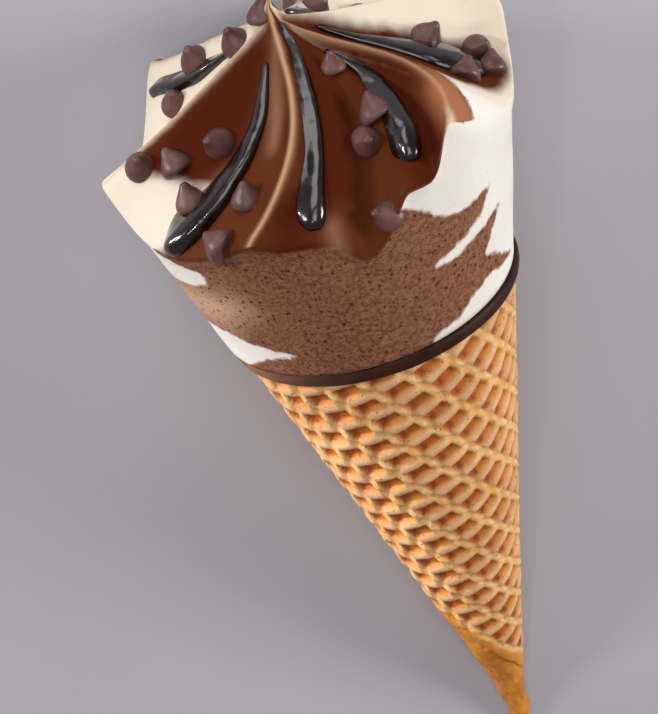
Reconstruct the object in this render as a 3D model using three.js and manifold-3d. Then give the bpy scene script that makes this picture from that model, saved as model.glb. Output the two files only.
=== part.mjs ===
// A soft serve cone: a rolled waffle cone with a chocolate lining that shows as a band round the
// rim, filled with chocolate and vanilla ice cream that ends in a piped star with chocolate sauce
// in its hollows and chocolate drops. It lies on its side. Units are millimetres, +Z is up.
//
// The shapes are worked out upright, round the cone's own axis: the virtual apex is the origin, the
// axis is +Z, and a bearing is the angle round it in degrees. Bearing 0 ends up on top and bearing
// 180 on the surface that the cone lies on. `LIE` turns each finished shape onto its side.
import * as THREE from 'three';
import { mergeVertices } from 'three/addons/utils/BufferGeometryUtils.js';
import Module from 'manifold-3d';

// ---- driving dimensions ----
const HALF_ANGLE = 12.5; // degrees between the axis and the cone's side
const RIM_RADIUS = 25; // outside of the waffle cone at its rim
const WAFER_WALL = 2.4;
const WAFER_SIDES = 48;
const WAFER_BULGE = 0.1; // how far the rolled wafer swells half way up
const NOSE = { radius: 2.2, at: 2.9, to: 12, proud: 0.3 }; // blunt tip: radius, start, end of the blend
const TIP_WALL = { to: 43, under: 47 }; // the tip's wall ends here and goes under the pattern
const OVERSHOOT = 4; // the wafer is made this much too long and cut off level at the rim
const GAP = 0.3; // between one layer and the next
const PRESSED = 0.4; // how deep the flat spot goes that the cone lies on

const ROW_PITCH = 4.73; // waffle pockets: from one to the next along the long ribs
const ROW_SLOPE = 121; // degrees, on the sheet before it is rolled
const COLUMN_PITCH = 6.06; // and along the short ribs
const COLUMN_SLOPE = 23.5;
const POCKET_AT = [2.8, 91.8]; // middle of one pocket on the flat sheet, whose apex is the origin
const POCKET_DEPTH = 0.9;
const POCKET_FLOOR = 0.62; // floor size as a share of the cell
const OVERLAP_STRIP = 7; // width of the plain strip where the sheet laps over itself
const STRIP_COVER = 1.05; // the strip reaches this far over the ends of the pattern
const STRIP_DEPTH = 1.7; // and is sunk this deep in the wall
const LAP_STEP = 0.35; // how far the sheet's edge stands above the tip that it is wrapped round
const LAP_EDGE = { near: 24.6, lean: 0.38, toward: 105 }; // that edge runs obliquely round the tip
const LAP_WIDTH = 4; // plain border along that edge

const LINING = 1.0; // thickness of the chocolate lining
const LINING_SIDES = 48;
const BAND_HEIGHT = 1.9; // its brim, seen as a dark band on the rim of the wafer
const BAND_PROUD = 0.4;
const BAND_ROUND = [[0.1, 0.2], [0, 0.5], [0.1, 0.8], [0.5, 1]]; // how far in, at which share of its height
const LINING_RISE = 6; // thickness of the lining at the bottom
const LINING_FLOOR = 20; // slant distance at which the lining ends in the tip

const FILL_INSET = 0.15; // ice cream above the rim, in from the cone's line
const FILL_SHIFT = -0.6; // the ice cream sits a little to one side
const LIP_PROUD = 0.5; // the piped lobes bulge over the side
const LIP_DROP = 3.5; // and are back in line with it this far below

// The piped star. Each crest and hollow runs from the peak to the lip. x is the distance from the
// axis as a share of STAR_RADIUS: the bearing is start + swing x + curl x^3, and the height is
// PEAK - fall x - droop x^3.
const PEAK = 164;
const STAR_RADIUS = 32;
const PEAK_TIP = { height: 3, radius: 2.4, lean: 0.7 };
const HOLLOW_SHAPE = 1.9; // 1 is a straight flank, more makes sharper crests over rounder hollows
const LINES_PER_FLANK = 5;
const SIDE_RINGS = [0, 0.3, 0.6, 0.8, 0.92]; // shares of the way up the side
const TOP_RINGS = [1, 0.96, 0.9, 0.81, 0.71, 0.61, 0.51, 0.41, 0.31, 0.21, 0.12, 0.055, 0.025];
const CRESTS = [
  { start: -61, swing: -19, curl: 0, fall: 12, droop: 1.5 },
  { start: -4, swing: 8, curl: -29, fall: 10, droop: 9.5 },
  { start: 24, swing: -15, curl: -14.7, fall: 12, droop: 10.5 },
  { start: 28, swing: 6, curl: -15, fall: 14, droop: 4 },
  { start: 31, swing: 38, curl: -33, fall: 10.5, droop: 1.2 },
  { start: 72, swing: 66, curl: -38, fall: 9, droop: 1 },
  { start: 138, swing: 55, curl: -36, fall: 9, droop: 1 },
  { start: 216, swing: 25, curl: -20, fall: 9, droop: 0.5 },
];
const HOLLOWS = [
  { start: -28, swing: 10, curl: -42, fall: 21.5, droop: 1.5 },
  { start: 21, swing: -34, curl: 2, fall: 17.5, droop: 4 },
  { start: 26, swing: -2, curl: -24.7, fall: 12.8, droop: 16.6 },
  { start: 29.5, swing: 24, curl: -28.5, fall: 17, droop: 1.5 },
  { start: 66, swing: 34, curl: -30, fall: 20, droop: 0.5 },
  { start: 125, swing: 24, curl: -24, fall: 20, droop: 2 },
  { start: 180, swing: 30, curl: -24, fall: 20, droop: 2 },
  { start: 252, swing: 6, curl: -12, fall: 20, droop: 1 },
];

// Streaks of sauce, as places from the thin to the full end: distance from the axis, bearing and
// the streak's full width.
const SAUCE_RISE = { least: 0.25, ofHalf: 0.5 };
const SAUCE_STATIONS = 9;
const SAUCE_SIDES = 8;
const SAUCE_BLUNT = 0.3; // the least share of the width at the ends
const SAUCES = [
  [[6.5, -26, 1], [14, -26, 2.6], [19, -33, 3.5], [24, -41.5, 5], [28, -50, 7], [31, -57, 7]],
  [[2, 30, 0.8], [8, 13, 2], [15.5, 3.5, 3], [21, 0, 3.5], [24, -3, 3.2], [28.5, -7.5, 5.3],
    [30.6, -9, 5.2]],
  [[9.5, 37, 0.9], [13, 39, 1.7], [16, 39, 2.8], [19, 35.5, 3.8], [23.5, 29, 5.2], [28, 24, 6.3],
    [30, 22.5, 6]],
  [[6, 76, 1.2], [8, 75.5, 1.9], [10.5, 75.5, 1.6], [14, 78, 3.2], [20, 79, 6], [24, 78, 7.4],
    [28.5, 80, 5.4]],
  [[3, 139, 2], [10, 144, 3], [20, 146, 4.4]],
  [[6, 190, 2], [16, 196, 3.6], [27, 195, 5]],
  [[8, -118, 1.6], [12, -121.5, 2.6], [16, -122.5, 4.2], [22, -126, 4.2], [30, -131.5, 3.6]],
];

// Chocolate drops: distance from the axis, bearing, lean in degrees with its direction, and size.
const DROP_RADIUS = 2.6;
const DROP_HEIGHT = 4.4;
const DROP_SUNK = 0.7;
const DROP_SIDES = 7;
const DROP_LEVELS = [[0.86, 0], [1, 0.17], [0.7, 0.56], [0.36, 0.82]]; // shares of radius and height
const DROPS = [
  [1.8, -140, 30, 180, 1], [7.4, -122, 20, 180, 1], [17, -128, 25, 170, 1.05],
  [21.5, -118, 50, 150, 0.95], [27, -73.5, 25, 180, 0.95], [23.3, -62, 60, 270, 0.95],
  [18, -47.5, 8, 0, 0.95], [25.5, -52, 50, 250, 0.95], [25.2, -28, 40, 200, 0.95],
  [31, -34, 65, 300, 1.05], [13.2, 27, 45, 270, 0.75], [21.8, 25.5, 65, 260, 0.95],
  [22.4, 17.5, 8, 90, 0.95], [29.6, 12.5, 12, 270, 0.95], [21, 90, 15, 180, 0.98],
  [28, 88, 30, 100, 0.9], [25.8, 69, 50, 270, 0.95], [29.2, 80, 60, 270, 0.95], [24, 128, 30, 0, 1],
  [13, 150, 40, 90, 1], [21.5, 168, 20, 210, 1], [29, 196, 45, 120, 1], [17, 205, 30, 300, 1],
  [27.5, 150, 30, 60, 1],
];

// ---- derived ----
const { degToRad, radToDeg, lerp, smoothstep } = THREE.MathUtils;
const ALPHA = degToRad(HALF_ANGLE);
const RIM_SLANT = RIM_RADIUS / Math.sin(ALPHA);
const RIM_Z = RIM_SLANT * Math.cos(ALPHA);
const BAND_BOTTOM = RIM_Z + GAP;
const BAND_TOP = BAND_BOTTOM + BAND_HEIGHT;
const FILL_BOTTOM = BAND_TOP + GAP;
const WAFER_COLOUR = 0xd9a05c;
const CHOCOLATE_COLOUR = 0x3c2014;
const ICE_CREAM_COLOUR = 0xa87c62;
const BEYOND = 200; // farther than the object reaches

const LIE = new THREE.Matrix4().set(
  0, 1, 0, 0,
  -Math.sin(ALPHA), 0, Math.cos(ALPHA), 0,
  Math.cos(ALPHA), 0, Math.sin(ALPHA), -PRESSED,
  0, 0, 0, 1,
);

const wasm = await Module();
wasm.setup();

// ---- places ----
// A point at a radius, bearing and height round the axis.
function polar(radius, bearing, z) {
  const angle = degToRad(bearing);
  return new THREE.Vector3(radius * Math.cos(angle), radius * Math.sin(angle), z);
}

// A point on the cone's side, `slant` from the apex, moved `out` square to the side.
function onSide(slant, bearing, out) {
  const radius = slant * Math.sin(ALPHA) + out * Math.cos(ALPHA);
  return polar(radius, bearing, slant * Math.cos(ALPHA) - out * Math.sin(ALPHA));
}

function swell(slant) {
  return WAFER_BULGE * Math.sin(Math.PI * Math.min(slant / RIM_SLANT, 1));
}

// ---- meshes to solids ----
// One closed solid from a three.js geometry, laid on its side.
function solid(geometry) {
  geometry.deleteAttribute('normal');
  geometry.deleteAttribute('uv');
  const merged = mergeVertices(geometry, 1e-4).applyMatrix4(LIE);
  const vertProperties = new Float32Array(merged.attributes.position.array);
  const triVerts = outward(vertProperties, new Uint32Array(merged.index.array));
  return new wasm.Manifold(new wasm.Mesh({ numProp: 3, vertProperties, triVerts }));
}

// The triangles without those that merging has closed up, turned to face out.
function outward(vertices, triangles) {
  const kept = [];
  let volume = 0;
  const at = (k) => new THREE.Vector3().fromArray(vertices, 3 * k);
  for (let k = 0; k < triangles.length; k += 3) {
    const [a, b, c] = triangles.slice(k, k + 3);
    if (a === b || b === c || c === a) continue;
    kept.push([a, b, c]);
    volume += at(a).dot(at(b).cross(at(c)));
  }
  return new Uint32Array(kept.flatMap(([a, b, c]) => (volume < 0 ? [a, c, b] : [a, b, c])));
}

function indexed(points, triangles) {
  const geometry = new THREE.BufferGeometry().setFromPoints(points);
  geometry.setIndex(triangles);
  return geometry;
}

// A closed skin over rings of points. Every ring has as many points and is closed. `ends` are the
// two points that close the first and the last ring; without them the last ring joins the first.
function skin(rings, ends) {
  const width = rings[0].length;
  const points = rings.flat();
  const triangles = [];
  const at = (i, j) => (i % rings.length) * width + (j % width);
  for (let i = 0; i < rings.length - (ends ? 1 : 0); i += 1) {
    for (let j = 0; j < width; j += 1) {
      triangles.push(at(i, j), at(i, j + 1), at(i + 1, j + 1));
      triangles.push(at(i, j), at(i + 1, j + 1), at(i + 1, j));
    }
  }
  if (ends) {
    points.push(...ends);
    for (let j = 0; j < width; j += 1) {
      triangles.push(points.length - 2, at(0, j + 1), at(0, j));
      triangles.push(points.length - 1, at(rings.length - 1, j), at(rings.length - 1, j + 1));
    }
  }
  return solid(indexed(points, triangles));
}

// A body turned round the axis from [radius, z] pairs that start and end on it, or close.
function turned(profile, sides) {
  const outline = profile.map(([radius, z]) => new THREE.Vector2(radius, z));
  return solid(new THREE.LatheGeometry(outline, sides).rotateX(Math.PI / 2));
}

// A block larger than the object, whose lower face is at a height.
function blockAbove(height) {
  return new THREE.BoxGeometry(2 * BEYOND, 2 * BEYOND, BEYOND).translate(0, 0, height + BEYOND / 2);
}

// What lies under the surface that the cone rests on, as the upright shapes see it.
function floorBlock() {
  return solid(blockAbove(-BEYOND).applyMatrix4(LIE.clone().invert()));
}

// ---- wafer ----
const ALONG = polar(ROW_PITCH, ROW_SLOPE, 0);
const ACROSS = polar(COLUMN_PITCH, COLUMN_SLOPE, 0);

// A place on the flat sheet, counted in cells, as slant distance and bearing on the cone.
function rolled(row, column) {
  const x = POCKET_AT[0] + row * ALONG.x + column * ACROSS.x;
  const y = POCKET_AT[1] + row * ALONG.y + column * ACROSS.y;
  return { slant: Math.hypot(x, y), bearing: radToDeg(Math.atan2(x, y)) / Math.sin(ALPHA) };
}

// Slant distance at which the rolled sheet ends round the tip.
function lapEdge(bearing) {
  return LAP_EDGE.near / (1 + LAP_EDGE.lean * Math.cos(degToRad(bearing - LAP_EDGE.toward)));
}

// Half the overlap strip as a bearing.
function stripHalf(slant) {
  return radToDeg(OVERLAP_STRIP / 2 / (slant * Math.sin(ALPHA)));
}

const CORNERS = [[-0.5, -0.5], [0.5, -0.5], [0.5, 0.5], [-0.5, 0.5]];
const BESIDE = [[0, -1], [1, 0], [0, 1], [-1, 0]]; // the neighbour across each side

function hasCell(row, column) {
  return CORNERS.every(([r, c]) => {
    const { slant, bearing } = rolled(row + r, column + c);
    const besideStrip = Math.abs(bearing) < 180 - stripHalf(slant);
    const aboveBorder = slant > lapEdge(bearing) + LAP_WIDTH;
    return besideStrip && aboveBorder && slant < RIM_SLANT + ROW_PITCH + COLUMN_PITCH;
  });
}

// The pressed pattern: ribs that cross, with a pocket in every cell, on a thin backing that the
// wall of the cone swallows.
function waffleRelief() {
  const reach = Math.ceil(RIM_SLANT / ROW_PITCH) + 4;
  const backing = -POCKET_DEPTH - 2 * GAP;
  const points = [];
  const triangles = [];
  const shared = new Map();
  function add({ slant, bearing }, out) {
    return points.push(onSide(slant, bearing, out + swell(slant))) - 1;
  }
  function corner(row, column, out) {
    const key = `${row},${column},${out}`;
    if (!shared.has(key)) shared.set(key, add(rolled(row, column), out));
    return shared.get(key);
  }
  const quad = (a, b, c, d) => triangles.push(a, b, c, a, c, d);
  for (let row = -reach; row <= reach; row += 1) {
    for (let column = -reach; column <= reach; column += 1) {
      if (!hasCell(row, column)) continue;
      const top = CORNERS.map(([r, c]) => corner(row + r, column + c, 0));
      const back = CORNERS.map(([r, c]) => corner(row + r, column + c, backing));
      const depth = -POCKET_DEPTH * smoothstep(rolled(row, column).slant, 10, 60);
      const floor = CORNERS.map(([r, c]) => {
        return add(rolled(row + r * POCKET_FLOOR, column + c * POCKET_FLOOR), depth);
      });
      quad(...floor);
      quad(back[3], back[2], back[1], back[0]);
      for (let side = 0; side < 4; side += 1) {
        const next = (side + 1) % 4;
        quad(top[side], top[next], floor[next], floor[side]);
        const [r, c] = BESIDE[side];
        if (!hasCell(row + r, column + c)) quad(back[side], back[next], top[next], top[side]);
      }
    }
  }
  return solid(indexed(points, triangles));
}

// The wall of the cone under the pattern, with its hollow and its rounded tip.
function waferWall() {
  const under = -POCKET_DEPTH - GAP;
  const profile = [[0, NOSE.at]];
  for (const angle of [-55, -25, 0].map(degToRad)) {
    profile.push([NOSE.radius * Math.cos(angle), NOSE.at + NOSE.radius * (1 + Math.sin(angle))]);
  }
  const length = RIM_SLANT + OVERSHOOT;
  const tip = [[NOSE.to, NOSE.proud], [1.5 * NOSE.to, -LAP_STEP], [TIP_WALL.to, -LAP_STEP]];
  const wall = [0, 0.25, 0.5, 0.75, 1].map((share) => {
    const slant = lerp(TIP_WALL.under, length, share);
    return [slant, under + swell(slant)];
  });
  const hollowFloor = LINING_FLOOR - 2 * GAP;
  const inside = [[length, -WAFER_WALL], [hollowFloor, -WAFER_WALL]];
  for (const [slant, out] of [...tip, ...wall, ...inside]) {
    const place = onSide(slant, 0, out);
    profile.push([place.x, place.z]);
  }
  profile.push([0, profile.at(-1)[1]]);
  return turned(profile, WAFER_SIDES);
}

// The plain border where the sheet ends round the tip.
function lapCollar() {
  const rings = [];
  for (let bearing = 0; bearing < 360; bearing += 720 / WAFER_SIDES) {
    const edge = lapEdge(bearing);
    const far = edge + LAP_WIDTH + 1;
    rings.push([
      onSide(edge, bearing, 0),
      onSide(far, bearing, swell(far) / 2),
      onSide(far, bearing, -2 * LAP_STEP),
      onSide(edge, bearing, -2 * LAP_STEP),
    ]);
  }
  return skin(rings);
}

// The plain strip along the side that the cone lies on.
function overlapStrip() {
  const rings = [];
  const stations = 7;
  for (let k = 0; k < stations; k += 1) {
    const slant = lerp(lapEdge(180) + 1, RIM_SLANT + OVERSHOOT, k / (stations - 1));
    const half = STRIP_COVER * stripHalf(slant);
    const arc = [-1, -0.5, 0, 0.5, 1].map((share) => 180 + share * half);
    const outer = arc.map((bearing) => onSide(slant, bearing, swell(slant)));
    const inner = arc.map((bearing) => onSide(slant, bearing, swell(slant) - STRIP_DEPTH));
    rings.push([...outer, ...inner.reverse()]);
  }
  const ends = [rings[0], rings.at(-1)].map((ring) => ring[2].clone().lerp(ring[7], 0.5));
  return skin(rings, ends);
}

function waferCone() {
  return waferWall()
    .add(waffleRelief())
    .add(lapCollar())
    .add(overlapStrip())
    .subtract(solid(blockAbove(RIM_Z)))
    .subtract(floorBlock());
}

// ---- chocolate lining ----
function chocolateLining() {
  const outer = -WAFER_WALL - GAP;
  const low = onSide(LINING_FLOOR, 0, outer);
  const rim = onSide(BAND_BOTTOM / Math.cos(ALPHA), 0, outer);
  const hollowTop = onSide(BAND_TOP / Math.cos(ALPHA), 0, outer - LINING);
  const hollowLow = onSide(LINING_FLOOR + LINING_RISE, 0, outer - LINING);
  const edge = RIM_RADIUS + BAND_PROUD;
  const profile = [
    [0, low.z],
    [low.x, low.z],
    [rim.x, BAND_BOTTOM],
    [edge - 0.6, BAND_BOTTOM],
    ...BAND_ROUND.map(([inset, share]) => [edge - inset, BAND_BOTTOM + share * BAND_HEIGHT]),
    [hollowTop.x, BAND_TOP],
    [hollowLow.x, hollowLow.z],
    [0, hollowLow.z],
  ];
  return turned(profile, LINING_SIDES).subtract(floorBlock());
}

// ---- ice cream ----
function bearingOf(line, radius) {
  const x = radius / STAR_RADIUS;
  return line.start + line.swing * x + line.curl * x ** 3;
}

function heightOf(line, radius) {
  const x = radius / STAR_RADIUS;
  return PEAK - line.fall * x - line.droop * x ** 3;
}

// A flank lies between a crest and a hollow: share 0 is on the crest and 1 in the hollow.
function flankPoint(flank, share, radius) {
  const crest = heightOf(flank.crest, radius);
  const hollow = heightOf(flank.hollow, radius);
  const z = hollow + (crest - hollow) * (1 - share) ** HOLLOW_SHAPE;
  const bearing = lerp(bearingOf(flank.crest, radius) + flank.turn, bearingOf(flank.hollow, radius), share);
  return { bearing, z };
}

// The flanks in order round the axis, two for each hollow. The last ends on the first crest.
function flanks() {
  return HOLLOWS.flatMap((hollow, k) => {
    const after = (k + 1) % CRESTS.length;
    const turn = after === 0 ? 360 : 0;
    const first = { crest: CRESTS[k], hollow, turn: 0 };
    return [first, { crest: CRESTS[after], hollow, turn, back: true }];
  });
}

function sideRadius(z, lipZ) {
  const proud = LIP_PROUD * (1 - smoothstep(lipZ - z, 0, LIP_DROP));
  return z * Math.tan(ALPHA) - FILL_INSET + proud;
}

// Distance from the axis at which a line of the star meets the side.
function lipRadius(flank, share) {
  let near = 20;
  let far = 45;
  for (let step = 0; step < 40; step += 1) {
    const middle = (near + far) / 2;
    const { z } = flankPoint(flank, share, middle);
    if (middle > sideRadius(z, z)) far = middle;
    else near = middle;
  }
  return near;
}

// The lines of the star round the axis: each is a flank with a share of its width.
function starLines(perFlank) {
  return flanks().flatMap((flank) => {
    const shares = Array.from({ length: perFlank }, (_, k) => k / perFlank);
    return shares.map((share) => ({ flank, share: flank.back ? 1 - share : share }));
  });
}

function shifted(point) {
  return point.add(new THREE.Vector3(0, FILL_SHIFT, 0));
}

function peakLift(radius) {
  return PEAK_TIP.height * Math.max(0, 1 - radius / PEAK_TIP.radius) ** 2;
}

function iceCreamBody() {
  const lines = starLines(LINES_PER_FLANK);
  const lips = lines.map(({ flank, share }) => {
    const radius = lipRadius(flank, share);
    return { radius, ...flankPoint(flank, share, radius) };
  });
  const inner = -WAFER_WALL - LINING - 2 * GAP;
  const bottom = LINING_FLOOR + LINING_RISE + 2 * GAP;
  const core = [bottom, FILL_BOTTOM / Math.cos(ALPHA)].map((slant) => onSide(slant, 0, inner));
  const rings = [
    lips.map(({ bearing }) => polar(core[0].x, bearing, core[0].z)),
    lips.map(({ bearing }) => polar(core[1].x, bearing, FILL_BOTTOM)),
  ];
  for (const share of SIDE_RINGS) {
    rings.push(lips.map(({ bearing, z: lipZ }) => {
      const z = lerp(FILL_BOTTOM, lipZ, share);
      return shifted(polar(sideRadius(z, lipZ), bearing, z));
    }));
  }
  for (const share of TOP_RINGS) {
    rings.push(lines.map(({ flank, share: across }, k) => {
      const radius = share * lips[k].radius;
      const { bearing, z } = flankPoint(flank, across, radius);
      return shifted(polar(radius, bearing, z + peakLift(radius)));
    }));
  }
  const peak = shifted(new THREE.Vector3(0, PEAK_TIP.lean, PEAK + PEAK_TIP.height));
  return skin(rings, [new THREE.Vector3(0, 0, core[0].z), peak]);
}

// Height of the star's surface at a distance from the axis and a bearing.
function starHeight(radius, bearing) {
  for (const flank of flanks()) {
    const a = flankPoint(flank, 0, radius).bearing;
    const b = flankPoint(flank, 1, radius).bearing;
    const turned360 = THREE.MathUtils.euclideanModulo(bearing - Math.min(a, b), 360);
    const share = turned360 / Math.abs(b - a);
    if (share <= 1) return flankPoint(flank, b > a ? share : 1 - share, radius).z;
  }
  throw new Error(`no flank at bearing ${bearing}`);
}

function onStar(radius, bearing, lift = 0) {
  return shifted(polar(radius, bearing, starHeight(radius, bearing) + lift));
}

// Distance and bearing of the point of a line of waypoints that is a share of its way along, with
// the line's width there.
function alongWaypoints(waypoints, share) {
  const plan = waypoints.map(([radius, bearing]) => polar(radius, bearing, 0));
  const runs = plan.slice(1).map((point, k) => point.distanceTo(plan[k]));
  let left = share * runs.reduce((sum, run) => sum + run, 0);
  let k = 0;
  while (k < runs.length - 1 && left > runs[k]) {
    left -= runs[k];
    k += 1;
  }
  const way = Math.min(left / runs[k], 1);
  const point = plan[k].clone().lerp(plan[k + 1], way);
  const radius = Math.hypot(point.x, point.y);
  const bearing = radToDeg(Math.atan2(point.y, point.x));
  return { radius, bearing, width: lerp(waypoints[k][2], waypoints[k + 1][2], way) };
}

// A streak of sauce: a flattened bead along its line, thin at the peak and a full drop at its end.
function sauceStreak(waypoints) {
  const rings = [];
  const step = 0.02;
  const place = (share) => {
    const { radius, bearing } = alongWaypoints(waypoints, share);
    return onStar(radius, bearing);
  };
  for (let k = 0; k < SAUCE_STATIONS; k += 1) {
    const share = k / (SAUCE_STATIONS - 1);
    const roundEnd = Math.max(Math.sqrt(1 - (2 * share - 1) ** 10), SAUCE_BLUNT);
    const half = 0.5 * alongWaypoints(waypoints, share).width * roundEnd;
    const middle = place(share);
    const along = place(Math.min(share + step, 1)).sub(place(Math.max(share - step, 0))).normalize();
    const across = new THREE.Vector3(0, 0, 1).cross(along).normalize();
    const up = along.clone().cross(across).negate().normalize();
    if (up.z < 0) up.negate();
    const height = (SAUCE_RISE.least + SAUCE_RISE.ofHalf * half) * roundEnd;
    const ring = [];
    for (let corner = 0; corner < SAUCE_SIDES; corner += 1) {
      const angle = (corner + 0.5) * 2 * Math.PI / SAUCE_SIDES;
      const rise = Math.sin(angle) * height;
      ring.push(middle.clone().addScaledVector(across, half * Math.cos(angle)).addScaledVector(up, rise));
    }
    rings.push(ring);
  }
  const tips = [rings[0], rings.at(-1)].map((ring) => ring[0].clone().lerp(ring[SAUCE_SIDES / 2], 0.5));
  return skin(rings, tips);
}

// A chocolate drop with its flat base sunk in the ice cream and its tip leaning over.
function chocolateDrop([radius, bearing, lean, toward, size]) {
  const step = 0.6;
  const base = onStar(radius, bearing);
  const outwards = onStar(radius + step, bearing).sub(onStar(radius - step, bearing));
  const turn = radToDeg(step / radius);
  const round = onStar(radius, bearing + turn).sub(onStar(radius, bearing - turn));
  const normal = outwards.cross(round).normalize();
  if (normal.z < 0) normal.negate();
  const square = new THREE.Quaternion().setFromUnitVectors(new THREE.Vector3(0, 0, 1), normal);
  const aside = polar(1, toward, 0);
  const tipped = new THREE.Quaternion().setFromAxisAngle(aside, degToRad(lean));
  const set = (point) => point.applyQuaternion(tipped).applyQuaternion(square).add(base);
  const rings = DROP_LEVELS.map(([width, height]) => Array.from({ length: DROP_SIDES }, (_, k) => {
    const z = height * size * DROP_HEIGHT - DROP_SUNK;
    return set(polar(width * size * DROP_RADIUS, 360 * k / DROP_SIDES, z));
  }));
  const ends = [-DROP_SUNK, size * DROP_HEIGHT - DROP_SUNK].map((z) => set(new THREE.Vector3(0, 0, z)));
  return skin(rings, ends);
}

// The ice cream with all that is stuck to it, without scraps and with sealed hollows filled.
function iceCream() {
  let whole = iceCreamBody();
  for (const sauce of SAUCES) whole = whole.add(sauceStreak(sauce));
  for (const drop of DROPS) whole = whole.add(chocolateDrop(drop));
  const pieces = whole.subtract(floorBlock()).decompose();
  return pieces.reduce((best, piece) => (piece.volume() > best.volume() ? piece : best));
}

// ---- the object ----
function part(name, body, color, roughness) {
  const { vertProperties, triVerts } = body.getMesh();
  const geometry = new THREE.BufferGeometry();
  geometry.setAttribute('position', new THREE.Float32BufferAttribute(vertProperties, 3));
  geometry.setIndex(new THREE.Uint32BufferAttribute(triVerts, 1));
  geometry.computeVertexNormals();
  const mesh = new THREE.Mesh(geometry, new THREE.MeshStandardMaterial({ color, roughness }));
  mesh.name = name;
  return mesh;
}

const group = new THREE.Group();
group.add(part('wafer_cone', waferCone(), WAFER_COLOUR, 0.75));
group.add(part('chocolate_lining', chocolateLining(), CHOCOLATE_COLOUR, 0.35));
group.add(part('ice_cream', iceCream(), ICE_CREAM_COLOUR, 0.6));

// The origin is the middle of the object's box, on the surface that it lies on.
const extent = new THREE.Box3().setFromObject(group);
const middle = extent.getCenter(new THREE.Vector3());
group.position.set(-middle.x, -middle.y, -extent.min.z);
group.updateMatrixWorld(true);

export default group;
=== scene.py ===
# %% [markdown]
# # A soft serve cone, lying down
#
# A rolled waffle cone with a chocolate rim holds chocolate and vanilla ice cream that ends in a piped
# star, with chocolate sauce in the star's hollows and chocolate drops stuck to it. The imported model
# has the plain solids at their real size. Here each piece of the real thing gets its own shape and
# finish, and stands where its solid is.

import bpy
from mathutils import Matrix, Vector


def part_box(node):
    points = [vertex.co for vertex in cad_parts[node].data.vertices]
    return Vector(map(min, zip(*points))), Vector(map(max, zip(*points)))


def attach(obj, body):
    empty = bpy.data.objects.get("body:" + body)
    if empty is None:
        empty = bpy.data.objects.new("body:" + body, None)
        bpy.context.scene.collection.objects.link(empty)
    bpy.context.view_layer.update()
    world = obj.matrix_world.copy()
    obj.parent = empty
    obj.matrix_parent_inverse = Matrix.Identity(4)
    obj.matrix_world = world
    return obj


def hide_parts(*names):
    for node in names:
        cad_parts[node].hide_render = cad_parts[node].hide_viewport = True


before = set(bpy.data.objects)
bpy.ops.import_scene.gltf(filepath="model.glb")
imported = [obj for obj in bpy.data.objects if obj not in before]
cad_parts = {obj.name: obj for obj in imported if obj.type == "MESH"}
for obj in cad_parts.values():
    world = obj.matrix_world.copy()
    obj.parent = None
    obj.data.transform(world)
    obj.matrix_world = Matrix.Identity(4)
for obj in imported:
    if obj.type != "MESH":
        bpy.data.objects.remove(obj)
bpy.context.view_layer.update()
print("solids:", sorted(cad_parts))

# %% Tools
import math
import random

import bpy
import numpy as np
from mathutils import Matrix, Vector, noise

# %% [markdown]
# ## Round the cone's own axis
#
# Nearly everything on an ice cream cone goes round an axis, so the shapes are easiest to think out
# with the cone upright: a point has a distance from the axis, a bearing round it and a height above
# the virtual apex, in millimetres and degrees. `lay_down` then turns a finished shape onto its side,
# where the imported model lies, and goes over to metres. Bearing 0 ends up on top and 180 below. The
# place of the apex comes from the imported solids: the lining is as wide on both sides of the axis, and
# the wafer's box starts at its tip.

# %% The cone's measures and how it lies
HALF_ANGLE = math.radians(12.5)
SIN, COS, TAN = math.sin(HALF_ANGLE), math.cos(HALF_ANGLE), math.tan(HALF_ANGLE)
RIM_RADIUS = 25.0
RIM_SLANT = RIM_RADIUS / SIN
RIM_HEIGHT = RIM_SLANT * COS
WALL = 2.4  # of the wafer
GAP = 0.3  # between wafer, lining and ice cream
TIP_START = 2.9  # height of the blunt tip above the virtual apex
PRESSED = 0.4  # depth of the flat spot underneath

lining_low, lining_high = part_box("chocolate_lining")
wafer_low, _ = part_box("wafer_cone")
APEX = np.array([
    500 * (lining_low.x + lining_high.x),
    1000 * wafer_low.y - TIP_START * COS,
    -PRESSED,
])


def around(radius, bearing, height):
    """Points at a distance from the axis, a bearing in degrees and a height."""
    angle = np.radians(bearing)
    return np.stack(np.broadcast_arrays(radius * np.cos(angle), radius * np.sin(angle), height), axis=-1)


def lay_down(points):
    """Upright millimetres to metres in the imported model, flat where they would sink in the ground."""
    x, y, z = np.moveaxis(points, -1, 0)
    laid = np.stack([y, z * COS - x * SIN, x * COS + z * SIN], axis=-1) + APEX
    laid[..., 2] = np.maximum(laid[..., 2], 0)
    return laid / 1000


print("virtual apex at", APEX.round(2), "mm")

# %% [markdown]
# ## Meshes from rings of points
#
# A lathe or a sculpted mesh would do, but food that is both regular and uneven is simplest as a grid:
# rings of points, moved by a formula, then joined into quads. One helper joins the rings, and one
# makes the object. Masks, such as where the vanilla is, ride along as named attributes, so that the
# shaders can read them on any mesh.

# %% From points to pieces
def join_rings(rings, ends):
    """Points and faces of a skin over closed rings; `ends` are the points that close it."""
    count, width = rings.shape[:2]
    ring, step = np.meshgrid(np.arange(count - 1), np.arange(width), indexing="ij")
    after = (step + 1) % width
    quads = np.stack([
        ring * width + step, ring * width + after,
        (ring + 1) * width + after, (ring + 1) * width + step,
    ], axis=-1).reshape(-1, 4)
    step = np.arange(width)
    after = (step + 1) % width
    first, last = count * width, count * width + 1
    top = (count - 1) * width
    fans = [[first, b, a] for a, b in zip(step, after)]
    fans += [[last, top + a, top + b] for a, b in zip(step, after)]
    points = np.concatenate([rings.reshape(-1, 3), np.asarray(ends, float)])
    return points, quads.tolist() + [[int(k) for k in fan] for fan in fans]


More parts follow.
